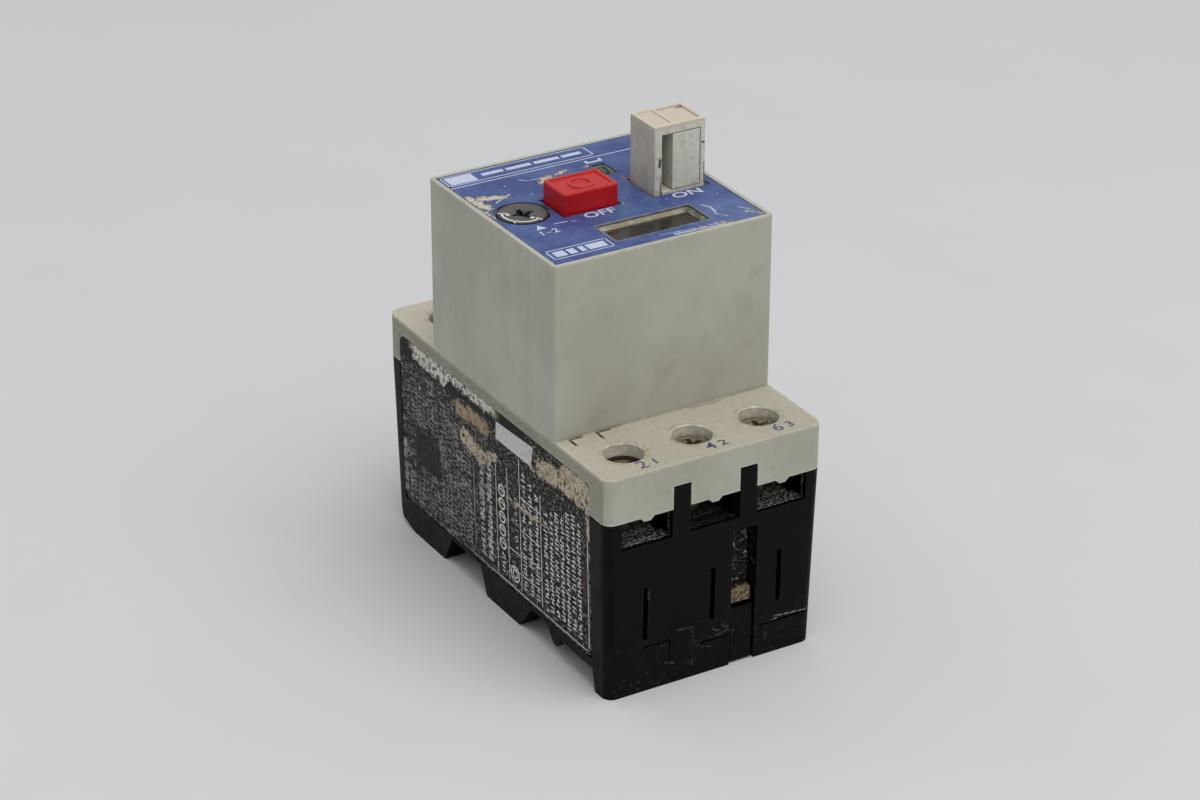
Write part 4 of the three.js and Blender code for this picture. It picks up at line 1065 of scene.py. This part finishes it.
def label_print():
    chance = random.Random(7)
    ink = Ink(on_label)
    low, high = box_mm("side_label")
    inset = 0.7
    border_y = (low.y + inset, high.y - inset)
    border_z = (low.z + inset, high.z - inset)
    ink.line((border_y[0], border_z[0] + 1), (border_y[0], 30), 0.22)
    ink.line((border_y[0] + 1, border_z[0]), (12, border_z[0]), 0.2)
    for row in range(7):
        y = -30.9 + row * 1.95
        row_z = (8.2 + chance.uniform(0, 1.2), 31.5 - 0.5 * row + chance.uniform(0, 2))
        type_row(ink, chance, (y, y + 1.25), row_z, 2.2)
    for y, low_z, high_z in (
        (-16.8, 8.2, 31),
        (-9.3, 8.2, 35),
        (-4.8, 8.4, 31),
        (-0.6, 8.3, 31),
        (7.9, 8.2, 27),
    ):
        ink.line((y, low_z), (y, high_z), 0.2)
    for z in (11.4, 16.0, 20.6, 27.4):
        ink.line((-16.8, z), (-9.3, z), 0.18)
    for z in (11.2, 15.0):
        ink.line((-9.3, z), (-4.8, z), 0.18)
    for row in range(3):
        y = -16.0 + row * 2.3
        type_row(ink, chance, (y, y + 1.2), (8.8, 31 + row), 1.2)
    type_row(ink, chance, (-8.3, -7.3), (16.0, 26.5), 1.0)
    ink.arc((-6.9, 10.2), 1.5, 0.3, steps=24)
    ink.arc((-6.9, 10.2), 0.8, 0.3, steps=16)
    for step in range(5):
        ink.arc((-2.6, 14.6 + step * 2.75), 1.05, 0.36, steps=20)
        ink.line((-3.2, 14.6 + step * 2.75), (-2.0, 14.9 + step * 2.75), 0.3)
    type_row(ink, chance, (-3.3, -2.1), (8.8, 12.5), 1.4)
    for row in range(2):
        y = 1.1 + row * 2.9
        type_row(ink, chance, (y, y + 1.9), (8.8, 30), 1.6)
        type_row(ink, chance, (y + 0.2, y + 1.7), (9.3, 29), 1.2)
    for row in range(8):
        y = 8.9 + row * 1.5
        row_z = (8.0 + chance.uniform(0, 1), 31 + chance.uniform(-2, 5))
        type_row(ink, chance, (y, y + 1.3), row_z, 3.0)
    for row in range(8):
        y = 21.2 + row * 1.6
        type_row(ink, chance, (y, y + 1.3), (25.5, 36 + chance.uniform(-4, 1)), 1.8)
        type_row(ink, chance, (y, y + 1.3), (8.2, 15 + chance.uniform(-1.5, 1)), 1.8)
    for z in (8.0, 10.4, 12.8, 15.2, 17.6):
        ink.bar((34.4, 36.0), (z, z + 1.9))
    ink.piece("label_print", "label_black", LABEL_INK)


def label_sticker():
    corners = [(-1.2, 39.1), (-14.6, 39.7), (-13.8, 35.6), (-1.1, 35.6)]
    top = [(FILM_X - 0.045, y, z) for y, z in corners]
    bottom = [(FILM_X - 0.017, y, z) for y, z in corners]
    faces = [(0, 1, 2, 3), (7, 6, 5, 4)]
    faces.extend((index, (index + 1) % 4, 4 + (index + 1) % 4, 4 + index) for index in range(4))
    mesh_piece("label_sticker", top + bottom, faces, "label_black", STICKER_PAPER)


# ---- Button springs ----


def round_spring(node, turns, wire):
    """A smooth coil of round wire in the place of the faceted one."""
    low, high = box_mm(node)
    centre = (low + high) / 2
    radius = (high.x - low.x) / 2 - wire
    steps = 28 * turns
    sides = 10
    ground = 0.85  # turns at each end that lie nearly flat
    bottom = low.z + wire
    top = high.z - wire
    vertices = []
    for step in range(steps + 1):
        share = step / steps
        eased = min(1.0, max(0.0, (share * turns - ground) / (turns - 2 * ground)))
        angle = math.tau * turns * share
        outward = Vector((math.cos(angle), math.sin(angle), 0))
        height = bottom + (top - bottom) * (0.04 * share + 0.96 * eased)
        for side in range(sides):
            turn = math.tau * side / sides
            ring = outward * (radius + wire * math.cos(turn)) + Vector((0, 0, wire * math.sin(turn)))
            vertices.append((centre.x + ring.x, centre.y + ring.y, height + ring.z))
    faces = []
    for step in range(steps):
        for side in range(sides):
            this = step * sides
            after = this + sides
            beside = (side + 1) % sides
            faces.append((this + side, after + side, after + beside, this + beside))
    faces.append(tuple(range(sides)))
    faces.append(tuple(reversed(range(steps * sides, (steps + 1) * sides))))
    spring = mesh_piece(f"{node}_wire", vertices, faces, "spring_steel", smooth=True)
    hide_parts(node)
    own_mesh(spring)


front_plate_print()
dial_scale()
terminal_numbers()
label_piece()
label_print()
label_sticker()
round_spring("start_spring", 11, 0.35)
round_spring("stop_spring", 8, 0.25)

# ---- Camera, floor and light ----

CAMERA_PLACE = Vector((-291.77, -489.75, 324.94)) * MM
CAMERA_RIGHT = Vector((0.85960, -0.51096, 0.00275))
CAMERA_UP = Vector((0.22814, 0.38863, 0.89270))
LENS = 104.75


def add_camera():
    data = bpy.data.cameras.new("camera")
    data.lens = LENS
    camera = bpy.data.objects.new("camera", data)
    back = CAMERA_RIGHT.cross(CAMERA_UP)
    turn = Matrix((CAMERA_RIGHT, CAMERA_UP, back)).transposed().to_4x4()
    camera.matrix_world = Matrix.Translation(CAMERA_PLACE) @ turn
    bpy.context.scene.collection.objects.link(camera)
    bpy.context.scene.camera = camera


def add_light(name, place, size, power, colour):
    data = bpy.data.lights.new(name, "AREA")
    data.shape = "DISK"
    data.size = size
    data.energy = power
    data.color = colour
    lamp = bpy.data.objects.new(name, data)
    lamp.location = place
    lamp.rotation_euler = (Vector((0, 0, 0.04)) - lamp.location).to_track_quat("-Z", "Y").to_euler()
    bpy.context.scene.collection.objects.link(lamp)


def add_floor():
    mesh = bpy.data.meshes.new("floor")
    half = 6.0
    corners = [(-half, -half, 0), (half, -half, 0), (half, half, 0), (-half, half, 0)]
    mesh.from_pydata(corners, [], [(0, 1, 2, 3)])
    floor = bpy.data.objects.new("floor", mesh)
    bpy.context.scene.collection.objects.link(floor)
    g = Graph("floor")
    g.colour = g.mix(tone(207, 208, 211), tone(212, 213, 216), g.noise(0.02, 2))
    floor.data.materials.append(g.finish(g.blend(0.6, 0.75, g.noise(0.05, 2))))


def add_world():
    world = bpy.data.worlds.new("studio")
    world.use_nodes = True
    sky = world.node_tree.nodes["Background"]
    sky.inputs["Color"].default_value = (0.92, 0.97, 1.0, 1)
    sky.inputs["Strength"].default_value = 0.5
    bpy.context.scene.world = world


add_camera()
add_floor()
add_world()
add_light("key", Vector((0.14, -0.5, 1.33)), 1.4, 13.0, (1.0, 0.95, 0.88))
add_light("fill", Vector((-0.5, 0.9, 1.0)), 1.0, 1.2, (1.0, 0.95, 0.88))
bpy.context.scene.view_settings.view_transform = "Standard"
